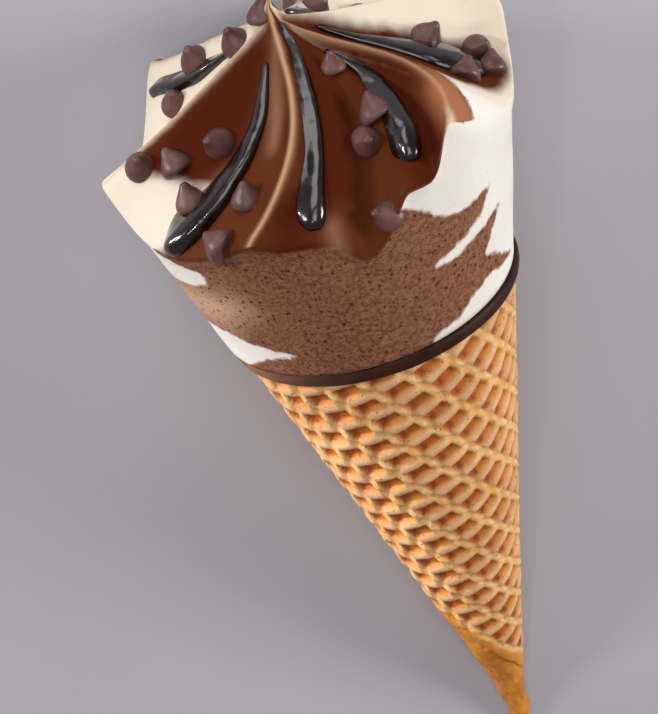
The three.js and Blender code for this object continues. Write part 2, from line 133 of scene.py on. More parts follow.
def join_parts(parts):
    """Several (points, faces) as one."""
    points, faces, start = [], [], 0
    for part_points, part_faces in parts:
        points.append(part_points)
        faces += [[k + start for k in face] for face in part_faces]
        start += len(part_points)
    return np.concatenate(points), faces


def inside_out(points, faces):
    """Whether a closed mesh has its faces pointing in, by the sign of its volume."""
    corners = np.array([face[:3] for face in faces])
    a, b, c = (points[corners[:, k]] for k in range(3))
    far = np.array([face[-1] for face in faces])
    volume = np.einsum("ij,ij->i", a, np.cross(b, c)) + np.einsum("ij,ij->i", a, np.cross(c, points[far]))
    return volume.sum() < 0


# %% Make a piece
def make_piece(name, points, faces, masks=None):
    """A smooth shaded object from upright points, laid down."""
    laid = lay_down(points)
    if inside_out(laid, faces):
        faces = [face[::-1] for face in faces]
    mesh = bpy.data.meshes.new(name)
    mesh.from_pydata(laid.tolist(), [], faces)
    mesh.shade_smooth()
    for mask, values in (masks or {}).items():
        mesh.attributes.new(mask, "FLOAT", "POINT").data.foreach_set("value", np.ravel(values))
    piece = bpy.data.objects.new(name, mesh)
    bpy.context.scene.collection.objects.link(piece)
    triangles = sum(len(face) - 2 for face in faces)
    print(f"{name}: {triangles} triangles, {1000 * max(piece.dimensions):.0f} mm long")
    return piece


# %% [markdown]
# ## Unevenness
#
# Nothing that is baked or piped is exact. A smooth noise, sampled at each point, moves the surface a
# little. It is the same noise at every run, because it only depends on the place and a seed.

# %% Smooth noise for shapes
def unevenness(points, size, seed):
    """Smooth bumps between about -1 and 1 that are `size` mm across, one value for each point."""
    shifted = np.asarray(points, float).reshape(-1, 3) / size + 31.7 * seed
    values = [noise.noise(point) for point in shifted.tolist()]
    return np.array(values).reshape(np.shape(points)[:-1])


def smoothstep(values, low, high):
    share = np.clip((values - low) / (high - low), 0, 1)
    return share * share * (3 - 2 * share)


# %% [markdown]
# ## Shader helpers
#
# All finishes are node materials. Typing out nodes one by one hides what a material does, so a small
# helper adds a node, fills its inputs and returns it. Colours are given as the familiar 0 to 255
# values and turned into the linear ones that Blender works with.

# %% Colours and mixing
def colour(red, green, blue):
    """An sRGB colour as Blender's linear RGBA."""
    def linear(value):
        value /= 255
        return value / 12.92 if value <= 0.04045 else ((value + 0.055) / 1.055) ** 2.4
    return (linear(red), linear(green), linear(blue), 1.0)


def add(tree, kind, inputs=None, **options):
    """A node with its options set and its inputs filled: a socket is linked, a value is set."""
    made = tree.nodes.new(kind)
    for option, value in options.items():
        setattr(made, option, value)
    for socket, value in (inputs or {}).items():
        if isinstance(value, bpy.types.NodeSocket):
            tree.links.new(value, made.inputs[socket])
        else:
            made.inputs[socket].default_value = value
    return made


def mix(tree, share, first, second):
    """The colour between two colours or colour sockets."""
    made = add(tree, "ShaderNodeMix", {"Factor": share}, data_type="RGBA")
    for socket, value in ((made.inputs[6], first), (made.inputs[7], second)):
        if isinstance(value, bpy.types.NodeSocket):
            tree.links.new(value, socket)
        else:
            socket.default_value = value
    return made.outputs[2]


def layers(tree, below, *above):
    """One colour laid over another, in order: each comes with its share."""
    for share, over in above:
        below = mix(tree, share, below, over)
    return below


# %% Numbers and masks
def maths(tree, operation, first, second=0.0, clamp=False):
    made = add(tree, "ShaderNodeMath", {0: first, 1: second}, operation=operation, use_clamp=clamp)
    return made.outputs[0]


def times(tree, first, second):
    return maths(tree, "MULTIPLY", first, second)


def between(tree, value, low, high, to_low=0.0, to_high=1.0):
    """A value's way from low to high, eased and clamped, as a number from to_low to to_high."""
    made = add(tree, "ShaderNodeMapRange", {
        "Value": value, "From Min": low, "From Max": high, "To Min": to_low, "To Max": to_high,
    }, interpolation_type="SMOOTHSTEP")
    return made.outputs["Result"]


def read_mask(tree, name):
    return add(tree, "ShaderNodeAttribute", attribute_name=name).outputs["Fac"]


# %% [markdown]
# ## Effects that several finishes share
#
# Wafer, chocolate and ice cream all have cloudy changes of colour and a fine grain, and the wafer and
# the ice cream have small pits as well. Each effect is a node group, made once, and each material
# gives it its own values. A group gives only masks and heights; the shader stays in the material.

# %% Make a group
def new_group(name, inputs, outputs):
    group = bpy.data.node_groups.new(name, "ShaderNodeTree")
    group.interface.new_socket("Vector", in_out="INPUT", socket_type="NodeSocketVector")
    for socket, value in inputs.items():
        made = group.interface.new_socket(socket, in_out="INPUT", socket_type="NodeSocketFloat")
        made.default_value = value
    for socket in outputs:
        group.interface.new_socket(socket, in_out="OUTPUT", socket_type="NodeSocketFloat")
    entry = group.nodes.new("NodeGroupInput")
    leave = group.nodes.new("NodeGroupOutput")
    return group, entry.outputs, leave.inputs


def in_millimetres(tree, vector, size):
    """Coordinates in metres, scaled so that one unit is `size` mm."""
    per_metre = maths(tree, "DIVIDE", 1000.0, size)
    return add(tree, "ShaderNodeVectorMath", {0: vector, "Scale": per_metre}, operation="SCALE").outputs[0]


# %% Mottle, grain and pits
def make_mottle():
    """Soft clouds, as a mask around one half."""
    group, given, result = new_group("mottle", {"Size": 5.0, "Contrast": 1.0, "Detail": 3.0}, ["Mask"])
    place = in_millimetres(group, given["Vector"], given["Size"])
    cloud = add(group, "ShaderNodeTexNoise", {"Vector": place, "Scale": 1.0, "Detail": given["Detail"]})
    swing = times(group, maths(group, "SUBTRACT", cloud.outputs["Fac"], 0.5), given["Contrast"])
    group.links.new(maths(group, "ADD", times(group, swing, 2.2), 0.5, clamp=True), result["Mask"])
    return group


def make_grain():
    """Fine roughness of two sizes, as a height."""
    group, given, result = new_group("grain", {"Size": 0.6}, ["Height"])
    place = in_millimetres(group, given["Vector"], given["Size"])
    rough = {"Vector": place, "Scale": 1.0, "Detail": 4.0, "Roughness": 0.6}
    coarse = add(group, "ShaderNodeTexNoise", rough).outputs["Fac"]
    fine = add(group, "ShaderNodeTexNoise", {"Vector": place, "Scale": 2.7, "Detail": 3.0}).outputs["Fac"]
    group.links.new(maths(group, "ADD", coarse, times(group, fine, 0.4)), result["Height"])
    return group


def make_pits():
    """Small round pits of uneven size, as a mask that is 1 in a pit."""
    group, given, result = new_group("pits", {"Spacing": 1.0, "Width": 0.35, "Share": 0.5}, ["Mask"])
    place = in_millimetres(group, given["Vector"], given["Spacing"])
    bend = add(group, "ShaderNodeTexNoise", {"Vector": place, "Scale": 1.4, "Detail": 2.0})
    bent = add(group, "ShaderNodeVectorMath", {0: bend.outputs["Color"], "Scale": 0.5}, operation="SCALE")
    moved = add(group, "ShaderNodeVectorMath", {0: place, 1: bent.outputs[0]}, operation="ADD").outputs[0]
    cells = add(group, "ShaderNodeTexVoronoi", {"Vector": moved, "Scale": 1.0, "Randomness": 1.0})
    draw = add(group, "ShaderNodeSeparateColor", {"Color": cells.outputs["Color"]}).outputs["Red"]
    width = times(group, given["Width"], maths(group, "LESS_THAN", draw, given["Share"]))
    width = times(group, width, maths(group, "ADD", draw, 0.55))
    depth = maths(group, "SUBTRACT", width, cells.outputs["Distance"])
    group.links.new(between(group, depth, -0.08, 0.1), result["Mask"])
    return group


MOTTLE, GRAIN, PITS = make_mottle(), make_grain(), make_pits()


# %% Use the groups in a finish
def effect(tree, group, **inputs):
    """What one of the groups gives in a material, on the piece's own coordinates."""
    made = tree.nodes.new("ShaderNodeGroup")
    made.node_tree = group
    place = add(tree, "ShaderNodeTexCoord").outputs["Object"]
    tree.links.new(place, made.inputs["Vector"])
    for socket, value in inputs.items():
        made.inputs[socket].default_value = value
    return made.outputs[0]


def new_finish(name, **settings):
    """A material with its tree and shader; the settings are the same all over the surface."""
    material = bpy.data.materials.new(name)
    material.use_nodes = True
    shader = material.node_tree.nodes["Principled BSDF"]
    for socket, value in settings.items():
        shader.inputs[socket.replace("_", " ")].default_value = value
    return material, material.node_tree, shader.inputs


def raise_surface(tree, height, depth, inputs):
    """Bump: `depth` is how far, in millimetres, a height of one stands out."""
    bump = add(tree, "ShaderNodeBump", {"Height": height, "Distance": depth / 1000, "Strength": 1.0})
    tree.links.new(bump.outputs["Normal"], inputs["Normal"])


def put_on(piece, material):
    """Gives a piece its finish."""
    piece.data.materials.append(material)
    print(f"{material.name} on {piece.name}: {len(material.node_tree.nodes)} nodes")


print("groups:", [group.name for group in (MOTTLE, GRAIN, PITS)])

# %% [markdown]
# ## The waffle cone
#
# A thin batter is baked between two engraved plates and rolled while soft. The engraving is a lattice
# of ribs, so it is drawn on the flat sheet, with its two directions and pitches, and wrapped round
# the cone. On a fine grid over the cone, each point looks up where it lies on the sheet: long ribs run
# one way, short ones cross them, and a pocket with steep walls lies between. Dough doesn't fill its
# mould evenly, so the short ribs swell to a crown in their middle, knobs stand on the long ribs
# between two pockets, and the long ribs dip where the two cross. Cutting each pocket out of a plain
# cone would work too, but a formula keeps its edges soft and lets each pocket differ a little.

# %% The pattern on the flat sheet
LONG_RIBS = {"slope": 121.0, "pitch": 4.73}  # pockets follow each other along them
SHORT_RIBS = {"slope": 23.5, "pitch": 6.06}
# how far from a pocket's middle each of its walls begins, and where it has become the rib; left is
# the way of smaller bearings
RIM_WALL, TIP_WALL = (0.7, 1.35), (0.3, 1.8)
LEFT_WALL, RIGHT_WALL = (1.8, 2.35), (1.4, 2.45)
LONG_RIB_TOP = (2.1, 2.5)  # where the long ribs' pale top begins
CROWN, CROWN_WIDTH = 0.3, 0.9
KNOB_PROUD, KNOB_LENGTH, KNOB_WIDTH = 0.35, 1.0, 0.85
SADDLE, SADDLE_WIDTH = 0.4, 0.8
POCKET_AT = np.array([2.8, 91.8])  # one pocket's middle; the sheet's apex is the origin
POCKET_DEPTH, DEPTH_SPREAD = 1.0, 0.25  # the pockets differ in depth by this share
FULL_DEPTH = (10, 60)  # slant distances between which the pockets reach their depth
NOSE_RADIUS = 2.2
NOSE_BLEND = (3.0, 18.0)  # slant distances between which the blunt tip turns into the cone
NOSE_FULLNESS = 0.9  # fills the tip out between the two
FIRST_ROW = 6.0  # slant distance of the first row after the nose
LAP_STEP = 0.35  # the sheet's edge stands this far above the tip
STEP_FADE = (12.0, 18.0)  # slant distances between which that step sets in
LAP_NEAR, LAP_LEAN, LAP_TOWARD = 24.6, 0.38, 105  # slant distance, ovalness and bearing of that edge
STRIP_WIDTH = 7.0  # plain strip underneath, where the sheet laps over itself
SHRINK = 0.45  # the dough draws in from its mould
BULGE = 0.1  # and stands out in the middle of its length


# %% From the cone to the flat sheet
def sheet_direction(ribs):
    angle = math.radians(ribs["slope"])
    return ribs["pitch"] * np.array([math.cos(angle), math.sin(angle)])


LATTICE = np.column_stack([sheet_direction(LONG_RIBS), sheet_direction(SHORT_RIBS)])
SKEW = math.sin(math.radians(LONG_RIBS["slope"] - SHORT_RIBS["slope"]))
print("pockets:", LONG_RIBS["pitch"], "by", SHORT_RIBS["pitch"], "mm from one to the next")


def lap_edge(bearing):
    """Slant distance at which the rolled sheet ends round the tip."""
    return LAP_NEAR / (1 + LAP_LEAN * np.cos(np.radians(bearing - LAP_TOWARD)))


def pocket_place(slant, bearing):
    """How far each point is from its pocket's middle, along and across the long ribs, and its pocket."""
    angle = np.radians(bearing) * SIN
    flat = np.stack([slant * np.sin(angle), slant * np.cos(angle)], axis=-1)
    cells = (flat - POCKET_AT) @ np.linalg.inv(LATTICE).T
    nearest = np.round(cells)
    along, across = np.moveaxis(cells - nearest, -1, 0)
    return along * LONG_RIBS["pitch"] * SKEW, across * SHORT_RIBS["pitch"] * SKEW, nearest


# %% Ribs, pockets, lap and swell
def wafer_relief(slant, bearing, points):
    """How far the baked surface stands off the plain cone, and the masks for its colours."""
    along, across, cell = pocket_place(slant, bearing)
    side = np.maximum(smoothstep(along, *RIM_WALL), smoothstep(-along, *TIP_WALL))
    end = np.maximum(smoothstep(across, *RIGHT_WALL), smoothstep(-across, *LEFT_WALL))
    strip_half = np.degrees(STRIP_WIDTH / 2 / (np.maximum(slant, 10) * SIN))
    in_pattern = smoothstep(slant - lap_edge(bearing), 2.0, 6.0)
    in_pattern = in_pattern * smoothstep(180 - strip_half - np.abs(bearing), 0, 4)
    pocket = (1 - side) * (1 - end) * in_pattern
    grown = smoothstep(slant, *FULL_DEPTH)
    cell_draw = unevenness(np.concatenate([cell, 0 * cell[..., :1]], axis=-1), 1.7, 3)
    depth = POCKET_DEPTH * grown * (1 + DEPTH_SPREAD * cell_draw)

    to_long_rib = 0.5 * SHORT_RIBS["pitch"] * SKEW - np.abs(across)
    to_short_rib = 0.5 * LONG_RIBS["pitch"] * SKEW - np.abs(along)
    knob = np.exp(-(along / KNOB_LENGTH) ** 2 - (to_long_rib / KNOB_WIDTH) ** 2)
    saddle = np.exp(-(to_short_rib / CROWN_WIDTH) ** 2 - (to_long_rib / SADDLE_WIDTH) ** 2)
    crown = np.exp(-(to_short_rib / CROWN_WIDTH) ** 2) * smoothstep(to_long_rib, 0.2, 1.4)
    lift = (KNOB_PROUD * (knob - 0.5) + CROWN * (crown - 0.5) - SADDLE * saddle) * in_pattern
    swell = BULGE * np.sin(np.pi * np.clip(slant / RIM_SLANT, 0, 1)) - SHRINK * grown

    lap = slant - lap_edge(bearing) - 0.9 * unevenness(points, 3.0, 6)
    under_sheet = 1 - smoothstep(lap, -0.3, 0.3)
    step = LAP_STEP * under_sheet * smoothstep(slant, *STEP_FADE)
    rough = 0.12 * unevenness(points, 2.6, 1) + 0.06 * unevenness(points, 1.1, 2)
    tip = 1 - smoothstep(lap, -0.6, 0.6)
    crags = tip * (0.28 * unevenness(points, 3.2, 4) + 0.24 * unevenness(points, 1.4, 5))

    # painted shadow: each pocket's left wall, turned from the light at the left, is painted dark
    by_left_wall = smoothstep(-across, 0.3, 1.1) * (1 - smoothstep(-across, 2.0, 2.4))
    masks = {
        "pocket": pocket,
        "band": smoothstep(np.abs(across), *LONG_RIB_TOP) * in_pattern,
        "knob": knob * in_pattern,
        "crown": crown * in_pattern,
        "painted_wall_shadow": by_left_wall * (1 - smoothstep(np.abs(along), 0.8, 1.5)) * in_pattern,
        "tip": tip,
        "lap": np.exp(-(lap / 0.7) ** 2),
    }
    return swell + lift - depth * pocket - step + rough + crags, masks


# %% Build the wafer
WAFER_SIDES = 352
WAFER_ROWS = 268


def wafer_profile():
    """Radius and height from the tip up the outside to the rim, and the way out at each place."""
    turn = np.radians(np.linspace(-78, -6, 8))
    nose = np.stack([
        NOSE_RADIUS * np.cos(turn), TIP_START + NOSE_RADIUS * (1 + np.sin(turn)), np.cos(turn), np.sin(turn),
    ], axis=-1)
    slant = np.linspace(FIRST_ROW, RIM_SLANT, WAFER_ROWS)
    blend = smoothstep(slant, *NOSE_BLEND)
    radius = NOSE_RADIUS + (slant * SIN - NOSE_RADIUS) * blend + NOSE_FULLNESS * blend * (1 - blend)
    side = np.stack([radius, slant * COS, 0 * slant + COS, 0 * slant - SIN], axis=-1)
    return np.concatenate([nose, side])


def build_wafer():
    profile = wafer_profile()
    bearing = np.linspace(-180, 180, WAFER_SIDES, endpoint=False)
    radius, height, out_r, out_z = (profile[:, k, None] for k in range(4))
    slant = height / COS
    bare = around(radius, bearing, height)
    out, masks = wafer_relief(slant + 0 * bearing, bearing + 0 * slant, bare)
    rim = smoothstep(slant, RIM_SLANT - 0.6, RIM_SLANT)
    out = out - 0.25 * rim ** 2
    outside = around(radius + out * out_r, bearing, np.minimum(height + out * out_z, RIM_HEIGHT))
    inner_slant = np.array([RIM_SLANT, RIM_SLANT - 2, 60, 18])[:, None]
    inside = around(inner_slant * SIN - WALL * COS, bearing, inner_slant * COS)
    inside[0, :, 2] = RIM_HEIGHT
    rings = np.concatenate([outside, inside])
    ends = [[0, 0, TIP_START], [0, 0, 18 * COS]]
    hidden = np.zeros((len(inside), WAFER_SIDES))
    for mask, values in masks.items():
        masks[mask] = np.append(np.concatenate([values, hidden]), [values[0, 0], 0])
    points, faces = join_rings(rings, ends)
    return make_piece("rolled_wafer", points, faces, masks)


wafer = build_wafer()

# %% [markdown]
# ## The finish of the wafer
#
# Baked sugar dough is golden on the ribs and a deeper orange brown in the pockets. Each pocket's left
# wall is painted darker still, a painted shadow of the light from the left, and the crowns of the short
# ribs are painted palest, partly paler dough and partly a painted highlight. Clouds of browning run over
# all of it. The surface has a soft shine, a fine crumb and small bubbles, so a grain and a few pits go
# into the bump, and the pits are painted darker as painted shade.

# %% Paint the wafer
WAFER_COLOURS = {
    "rib": colour(246, 194, 104),
    "flat": colour(218, 140, 40),
    "pocket": colour(200, 112, 34),
    # browning, and also the painted shadow on the pockets' left walls
    "browned_and_shadow": colour(146, 66, 18),
    # on the crowns this is partly paler dough and partly a painted highlight
    "pale": colour(255, 242, 206),
    # painted shade in the pits
    "painted_pit_shade": colour(128, 66, 24),
}


def paint_wafer():
    material, tree, inputs = new_finish("baked_wafer", Roughness=0.45, Specular_IOR_Level=0.3)
    clouds = effect(tree, MOTTLE, Size=9.0, Contrast=1.2, Detail=4.0)
    flecks = effect(tree, MOTTLE, Size=1.4, Contrast=1.6, Detail=3.0)
    pits = effect(tree, PITS, Spacing=1.1, Width=0.26, Share=0.35)
    grain = effect(tree, GRAIN, Size=0.55)
    pocket = read_mask(tree, "pocket")
    rib = mix(tree, times(tree, flecks, 0.6), WAFER_COLOURS["rib"], WAFER_COLOURS["pale"])
    on_band = between(tree, read_mask(tree, "band"), 0.0, 1.0, 0.0, 0.6)
    in_fleck = times(tree, between(tree, pocket, 0.6, 0.92), between(tree, flecks, 0.0, 1.0, 0.0, 0.45))
    # the deep flecks are browning; the left-wall mask adds a painted shadow
    deepest = maths(tree, "MAXIMUM", in_fleck, times(tree, read_mask(tree, "painted_wall_shadow"), 0.95))
    # the crowns are painted pale: partly paler dough, partly a painted highlight
    pale = times(tree, read_mask(tree, "crown"), between(tree, pocket, 0.2, 0.6, 0.45, 0.0))
    tip = times(tree, read_mask(tree, "tip"), between(tree, clouds, 0.3, 0.7, 0.0, 0.35))
    baked = layers(
        tree, WAFER_COLOURS["flat"],
        (on_band, rib),
        (times(tree, read_mask(tree, "knob"), 0.6), rib),
        (between(tree, pocket, 0.4, 0.8), WAFER_COLOURS["pocket"]),
        # browned flecks and the painted shadow on the left walls
        (deepest, WAFER_COLOURS["browned_and_shadow"]),
        (pale, WAFER_COLOURS["pale"]),
        (tip, WAFER_COLOURS["browned_and_shadow"]),
        (times(tree, read_mask(tree, "lap"), clouds), WAFER_COLOURS["browned_and_shadow"]),
        (times(tree, clouds, 0.3), WAFER_COLOURS["browned_and_shadow"]),
        # the pits are painted darker: painted shade in the bubbles
        (times(tree, pits, 0.35), WAFER_COLOURS["painted_pit_shade"]),
    )
    tree.links.new(baked, inputs["Base Color"])
    height = maths(tree, "SUBTRACT", grain, times(tree, pits, 0.8))
    raise_surface(tree, height, 0.16, inputs)
    return material


put_on(wafer, paint_wafer())
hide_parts("wafer_cone")
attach(wafer, "root")

# %% [markdown]
# ## The chocolate lining and its brim
#
# Chocolate is sprayed into the wafer to keep it crisp, and what stands over the rim shows as a dark
# band, whose outer edge hangs a little over the wafer. It is a turned shape, but a band of set
# chocolate wanders in width and stands out unevenly, so the turned profile is given a little noise
# On its left side it is painted lighter and milkier, partly milk chocolate and partly a painted sheen of the
# light from the left.

# %% The lining's profile
LINING = 1.0  # its thickness
LINING_FLOOR = 20.0
BAND_HEIGHT = 1.9
BAND_PROUD = 0.4
BAND_DROOP = 0.45  # the brim's outer edge hangs this far over the wafer
BAND_BOTTOM = RIM_HEIGHT + GAP
BAND_TOP = BAND_BOTTOM + BAND_HEIGHT
LINING_SIDES = 240


def lining_profile():
    """Radius and height from the floor in the tip, up the outside, over the brim and down inside."""
    outer_top = BAND_BOTTOM * TAN - (WALL + GAP) / COS
    outer_low = LINING_FLOOR * SIN - (WALL + GAP)
    inner_low = (LINING_FLOOR + 6) * SIN - WALL - GAP - LINING
    profile = [(outer_low, LINING_FLOOR * COS), (outer_top, BAND_BOTTOM), (RIM_RADIUS - 0.9, BAND_BOTTOM)]
    middle = (BAND_BOTTOM - BAND_DROOP + BAND_TOP) / 2
    for turn in np.radians(np.linspace(-90, 90, 15)):
        radius = RIM_RADIUS + BAND_PROUD - 0.6 * (1 - math.cos(turn) ** 0.6)
        profile.append((radius, middle + 0.5 * (BAND_HEIGHT + BAND_DROOP) * math.sin(turn)))
    profile += [(outer_top - LINING, BAND_TOP), (inner_low, LINING_FLOOR + 6)]
    return np.array(profile)


# %% Build the lining
def build_lining():
    profile = lining_profile()
    bearing = np.linspace(-180, 180, LINING_SIDES, endpoint=False)
    radius, height = profile[:, 0, None], profile[:, 1, None]
    bare = around(radius, bearing, height)
    brim = smoothstep(radius, RIM_RADIUS - 1.2, RIM_RADIUS) * (height >= BAND_BOTTOM - BAND_DROOP)
    swing = unevenness(bare, 9.0, 11)
    wobble = unevenness(bare, 2.5, 12)
    middle = (BAND_BOTTOM + BAND_TOP) / 2
    radius = radius + brim * (0.12 * swing + 0.05 * wobble)
    height = height + brim * (height > middle) * 0.25 * swing
    rings = around(radius + 0 * bearing, bearing, height + 0 * bearing)
    points, faces = join_rings(rings, [[0, 0, profile[0, 1]], [0, 0, profile[-1, 1]]])
    # lighter on the left: partly milk chocolate, partly a painted sheen of the light from the left
    left_sheen_and_milk = smoothstep(-bearing, 5, 75) * (1 - smoothstep(-bearing, 130, 170)) * (0.7 + 0.5 * swing)
    left_sheen_and_milk = np.append(left_sheen_and_milk + 0 * radius, [0, 0])
    return make_piece("chocolate_brim", points, faces, {"left_sheen_and_milk": left_sheen_and_milk})


# %% Paint the lining
def paint_lining():
    material, tree, inputs = new_finish("dark_chocolate", Specular_IOR_Level=0.14)
    clouds = effect(tree, MOTTLE, Size=6.0, Contrast=1.3, Detail=3.0)
    grain = effect(tree, GRAIN, Size=0.9)
    dark = mix(tree, clouds, colour(28, 10, 4), colour(56, 28, 14))
    # milky on the left: partly milk chocolate, partly a painted sheen
    dark = mix(tree, read_mask(tree, "left_sheen_and_milk"), dark, colour(140, 98, 74))
    tree.links.new(dark, inputs["Base Color"])
    tree.links.new(between(tree, clouds, 0.2, 0.8, 0.42, 0.55), inputs["Roughness"])
    raise_surface(tree, grain, 0.07, inputs)
    return material


lining = build_lining()
put_on(lining, paint_lining())
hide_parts("chocolate_lining")
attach(lining, "root")

# %% [markdown]
# ## The piped star
#
# The ice cream above the rim was pressed against a smooth sleeve, and a star nozzle drew it up to a
# peak. So its top is eight crests with hollows between them, which all start at the peak and sweep
# round on their way out. Each is a curve with a bearing and a height for every distance from the
# axis, and the surface runs from crest to hollow with a sharp edge above and a round floor below.
# Sculpting could do this too, but formulas keep it on the solid that it stands for.

# %% Crests and hollows
PEAK = 164.0
PEAK_TIP, PEAK_TIP_RADIUS = 3.0, 2.4  # the tip that the nozzle drew up at the peak
PEAK_LEAN = 0.7
STAR_RADIUS = 32.0
HOLLOW_SHAPE = 1.9  # how round the hollows' floors are
FILL_INSET = 0.15  # the side stands this far inside the line of the cone
FILL_SHIFT = np.array([0, -0.6, 0])  # sideways, as it isn't quite in the middle of the rim
LIP_PROUD = 0.5  # the lip stands out this far over the side, and fades within LIP_DROP
LIP_DROP = 3.5
FILL_BOTTOM = BAND_TOP + GAP
# start, swing, curl, fall, droop: with x the distance from the axis over STAR_RADIUS, the bearing
# is start + swing x + curl x^3 and the height is PEAK - fall x - droop x^3
CRESTS = [
    (-61, -19, 0, 12, 1.5), (-4, 8, -29, 10, 9.5), (24, -15, -14.7, 12, 10.5),
    (28, 6, -15, 14, 4), (31, 38, -33, 10.5, 1.2), (72, 66, -38, 9, 1),
    (138, 55, -36, 9, 1), (216, 25, -20, 9, 0.5),
]
HOLLOWS = [
    (-28, 10, -42, 21.5, 1.5), (21, -34, 2, 17.5, 4), (26, -2, -24.7, 12.8, 16.6),
    (29.5, 24, -28.5, 17, 1.5), (66, 34, -30, 20, 0.5), (125, 24, -24, 20, 2),
    (180, 30, -24, 20, 2), (252, 6, -12, 20, 1),
]


# %% The star's surface
def bearing_of(line, radius):
    x = radius / STAR_RADIUS
    return line[0] + line[1] * x + line[2] * x ** 3


def height_of(line, radius):
    x = radius / STAR_RADIUS
    return PEAK - line[3] * x - line[4] * x ** 3


def next_crest(k):
    """The crest after hollow k and the turn that makes its bearing larger than the hollow's."""
    return CRESTS[(k + 1) % len(CRESTS)], 360 if k + 1 == len(CRESTS) else 0


def flank_height(crest, hollow, share, radius):
    """Height between a crest, at share 0, and a hollow, at share 1."""
    top, floor = height_of(crest, radius), height_of(hollow, radius)
    return floor + (top - floor) * np.clip(1 - share, 0, 1) ** HOLLOW_SHAPE


def star_height(radius, bearing):
    """Height of the star's surface at any distances and bearings."""
    radius, bearing = np.broadcast_arrays(np.asarray(radius, float), np.asarray(bearing, float))
    height = np.zeros(radius.shape)
    for k, hollow in enumerate(HOLLOWS):
        low = bearing_of(hollow, radius)
        for crest, turn in ((CRESTS[k], 0), next_crest(k)):
            edge = bearing_of(crest, radius) + turn
            width = np.abs(edge - low)
            share = 1 - np.mod(bearing - np.minimum(edge, low), 360) / width
            share = np.where(edge < low, 1 - share, share)
            on_flank = (share >= 0) & (share <= 1)
            height = np.where(on_flank, flank_height(crest, hollow, share, radius), height)
    return height


def on_star(radius, bearing, lift=0.0):
    """Points on the star's surface."""
    return around(radius, bearing, star_height(radius, bearing) + lift) + FILL_SHIFT


def side_radius(height, lip_height):
    """Distance of the smooth side from the axis, with the lip that stands out over it."""
    proud = LIP_PROUD * (1 - smoothstep(lip_height - height, 0, LIP_DROP))
    return height * TAN - FILL_INSET + proud


print("star:", len(CRESTS), "crests, peak", PEAK, "mm above the apex")

# %% [markdown]
# ## The ice cream's grid
#
# The columns of the grid follow the crests and hollows, so no crest is ever cut by a face. They stand
# closer at the crests, each of which has its own rounding. The rings go up the side to the lip, and
# then over the top to the peak. The lip is softened by averaging along each column, most of all
# where a lobe was rubbed smooth against the sleeve.

# %% The grid's columns
FLANK_COLUMNS = 19
INNER_RINGS = 2  # inside the lining
SIDE_RINGS = 78
TOP_RINGS = 104
CREST_ROUNDINGS = np.array([0.6, 0.45, 2.4, 2.0, 0.9, 0.8, 0.6, 0.6])
LIP_ROUNDINGS = np.array([2.6, 0.4, 0, 0, 0.6, 1.5, 1.5, 1.5])  # added towards the lip
# painted highlights: how strong each crest's painted highlight line is, and the lip's
CREST_LINES = np.array([0.75, 1.0, 0.0, 0.0, 0.65, 0.25, 0.3, 0.4])  # how light each one's line is
LIP_LINE = 0.55
LIP_ROUNDING, SOFT_LIP_ROUNDING = 1.1, 4.0


def star_columns():
    """For each column the numbers of its hollow and its crest, and the share of the way across."""
    steps = [(j / FLANK_COLUMNS) ** 1.25 for j in range(FLANK_COLUMNS + 1)]
    columns = []
    for k in range(len(HOLLOWS)):
        columns += [(k, k, share) for share in steps[:-1]]
        columns += [(k, k + 1, share) for share in steps[:0:-1]]
    return columns


COLUMNS = star_columns()
COLUMN_SHARE = np.array([share for _, _, share in COLUMNS])[:, None]
COLUMN_HOLLOW = np.array([HOLLOWS[hollow] for hollow, _, _ in COLUMNS], float).T[:, :, None]
CREST_OF = np.array([crest % len(CRESTS) for _, crest, _ in COLUMNS])
COLUMN_CREST = np.array(CRESTS, float)[CREST_OF].T[:, :, None]
COLUMN_TURN = np.array([360.0 * (crest // len(CRESTS)) for _, crest, _ in COLUMNS])[:, None]
COLUMN_ROUNDING = CREST_ROUNDINGS[CREST_OF][:, None]
COLUMN_LIP_ROUNDING = LIP_ROUNDINGS[CREST_OF][:, None]


def on_flank_of(hollow, crest):
    return np.array([(of_hollow, of_crest) == (hollow, crest) for of_hollow, of_crest, _ in COLUMNS])


# the lip is rubbed smooth on the flank after crest 4, and a painted highlight runs along the end of the
# flank before it
SOFT_LIPS = on_flank_of(4, 4)[:, None] * smoothstep(COLUMN_SHARE, 0.02, 0.3)
LIGHT_LIPS = on_flank_of(3, 4) * (1 - smoothstep(COLUMN_SHARE[:, 0], 0.3, 0.75))


# %% Flanks and lips
def column_point(radius):
    """Every column's bearing, height and distance from its crest, at its own distance from the axis."""
    crest, hollow = bearing_of(COLUMN_CREST, radius) + COLUMN_TURN, bearing_of(COLUMN_HOLLOW, radius)
    width = np.abs(np.radians(crest - hollow)) * np.maximum(radius, 1)
    blunt = (COLUMN_ROUNDING + COLUMN_LIP_ROUNDING * (radius / STAR_RADIUS) ** 6) / width
    share = (np.sqrt(COLUMN_SHARE ** 2 + blunt ** 2) - blunt) / (np.sqrt(1 + blunt ** 2) - blunt)
    height = flank_height(COLUMN_CREST, COLUMN_HOLLOW, share, radius)
    return crest + (hollow - crest) * COLUMN_SHARE, height, COLUMN_SHARE * width


def find_lips():
    """Where each column meets the side: its distance from the axis, found by halving."""
    near, far = np.full((len(COLUMNS), 1), 20.0), np.full((len(COLUMNS), 1), 45.0)
    for _ in range(40):
        middle = (near + far) / 2
        height = column_point(middle)[1]
        beyond = middle > side_radius(height, height)
        near, far = np.where(beyond, near, middle), np.where(beyond, middle, far)
    return near


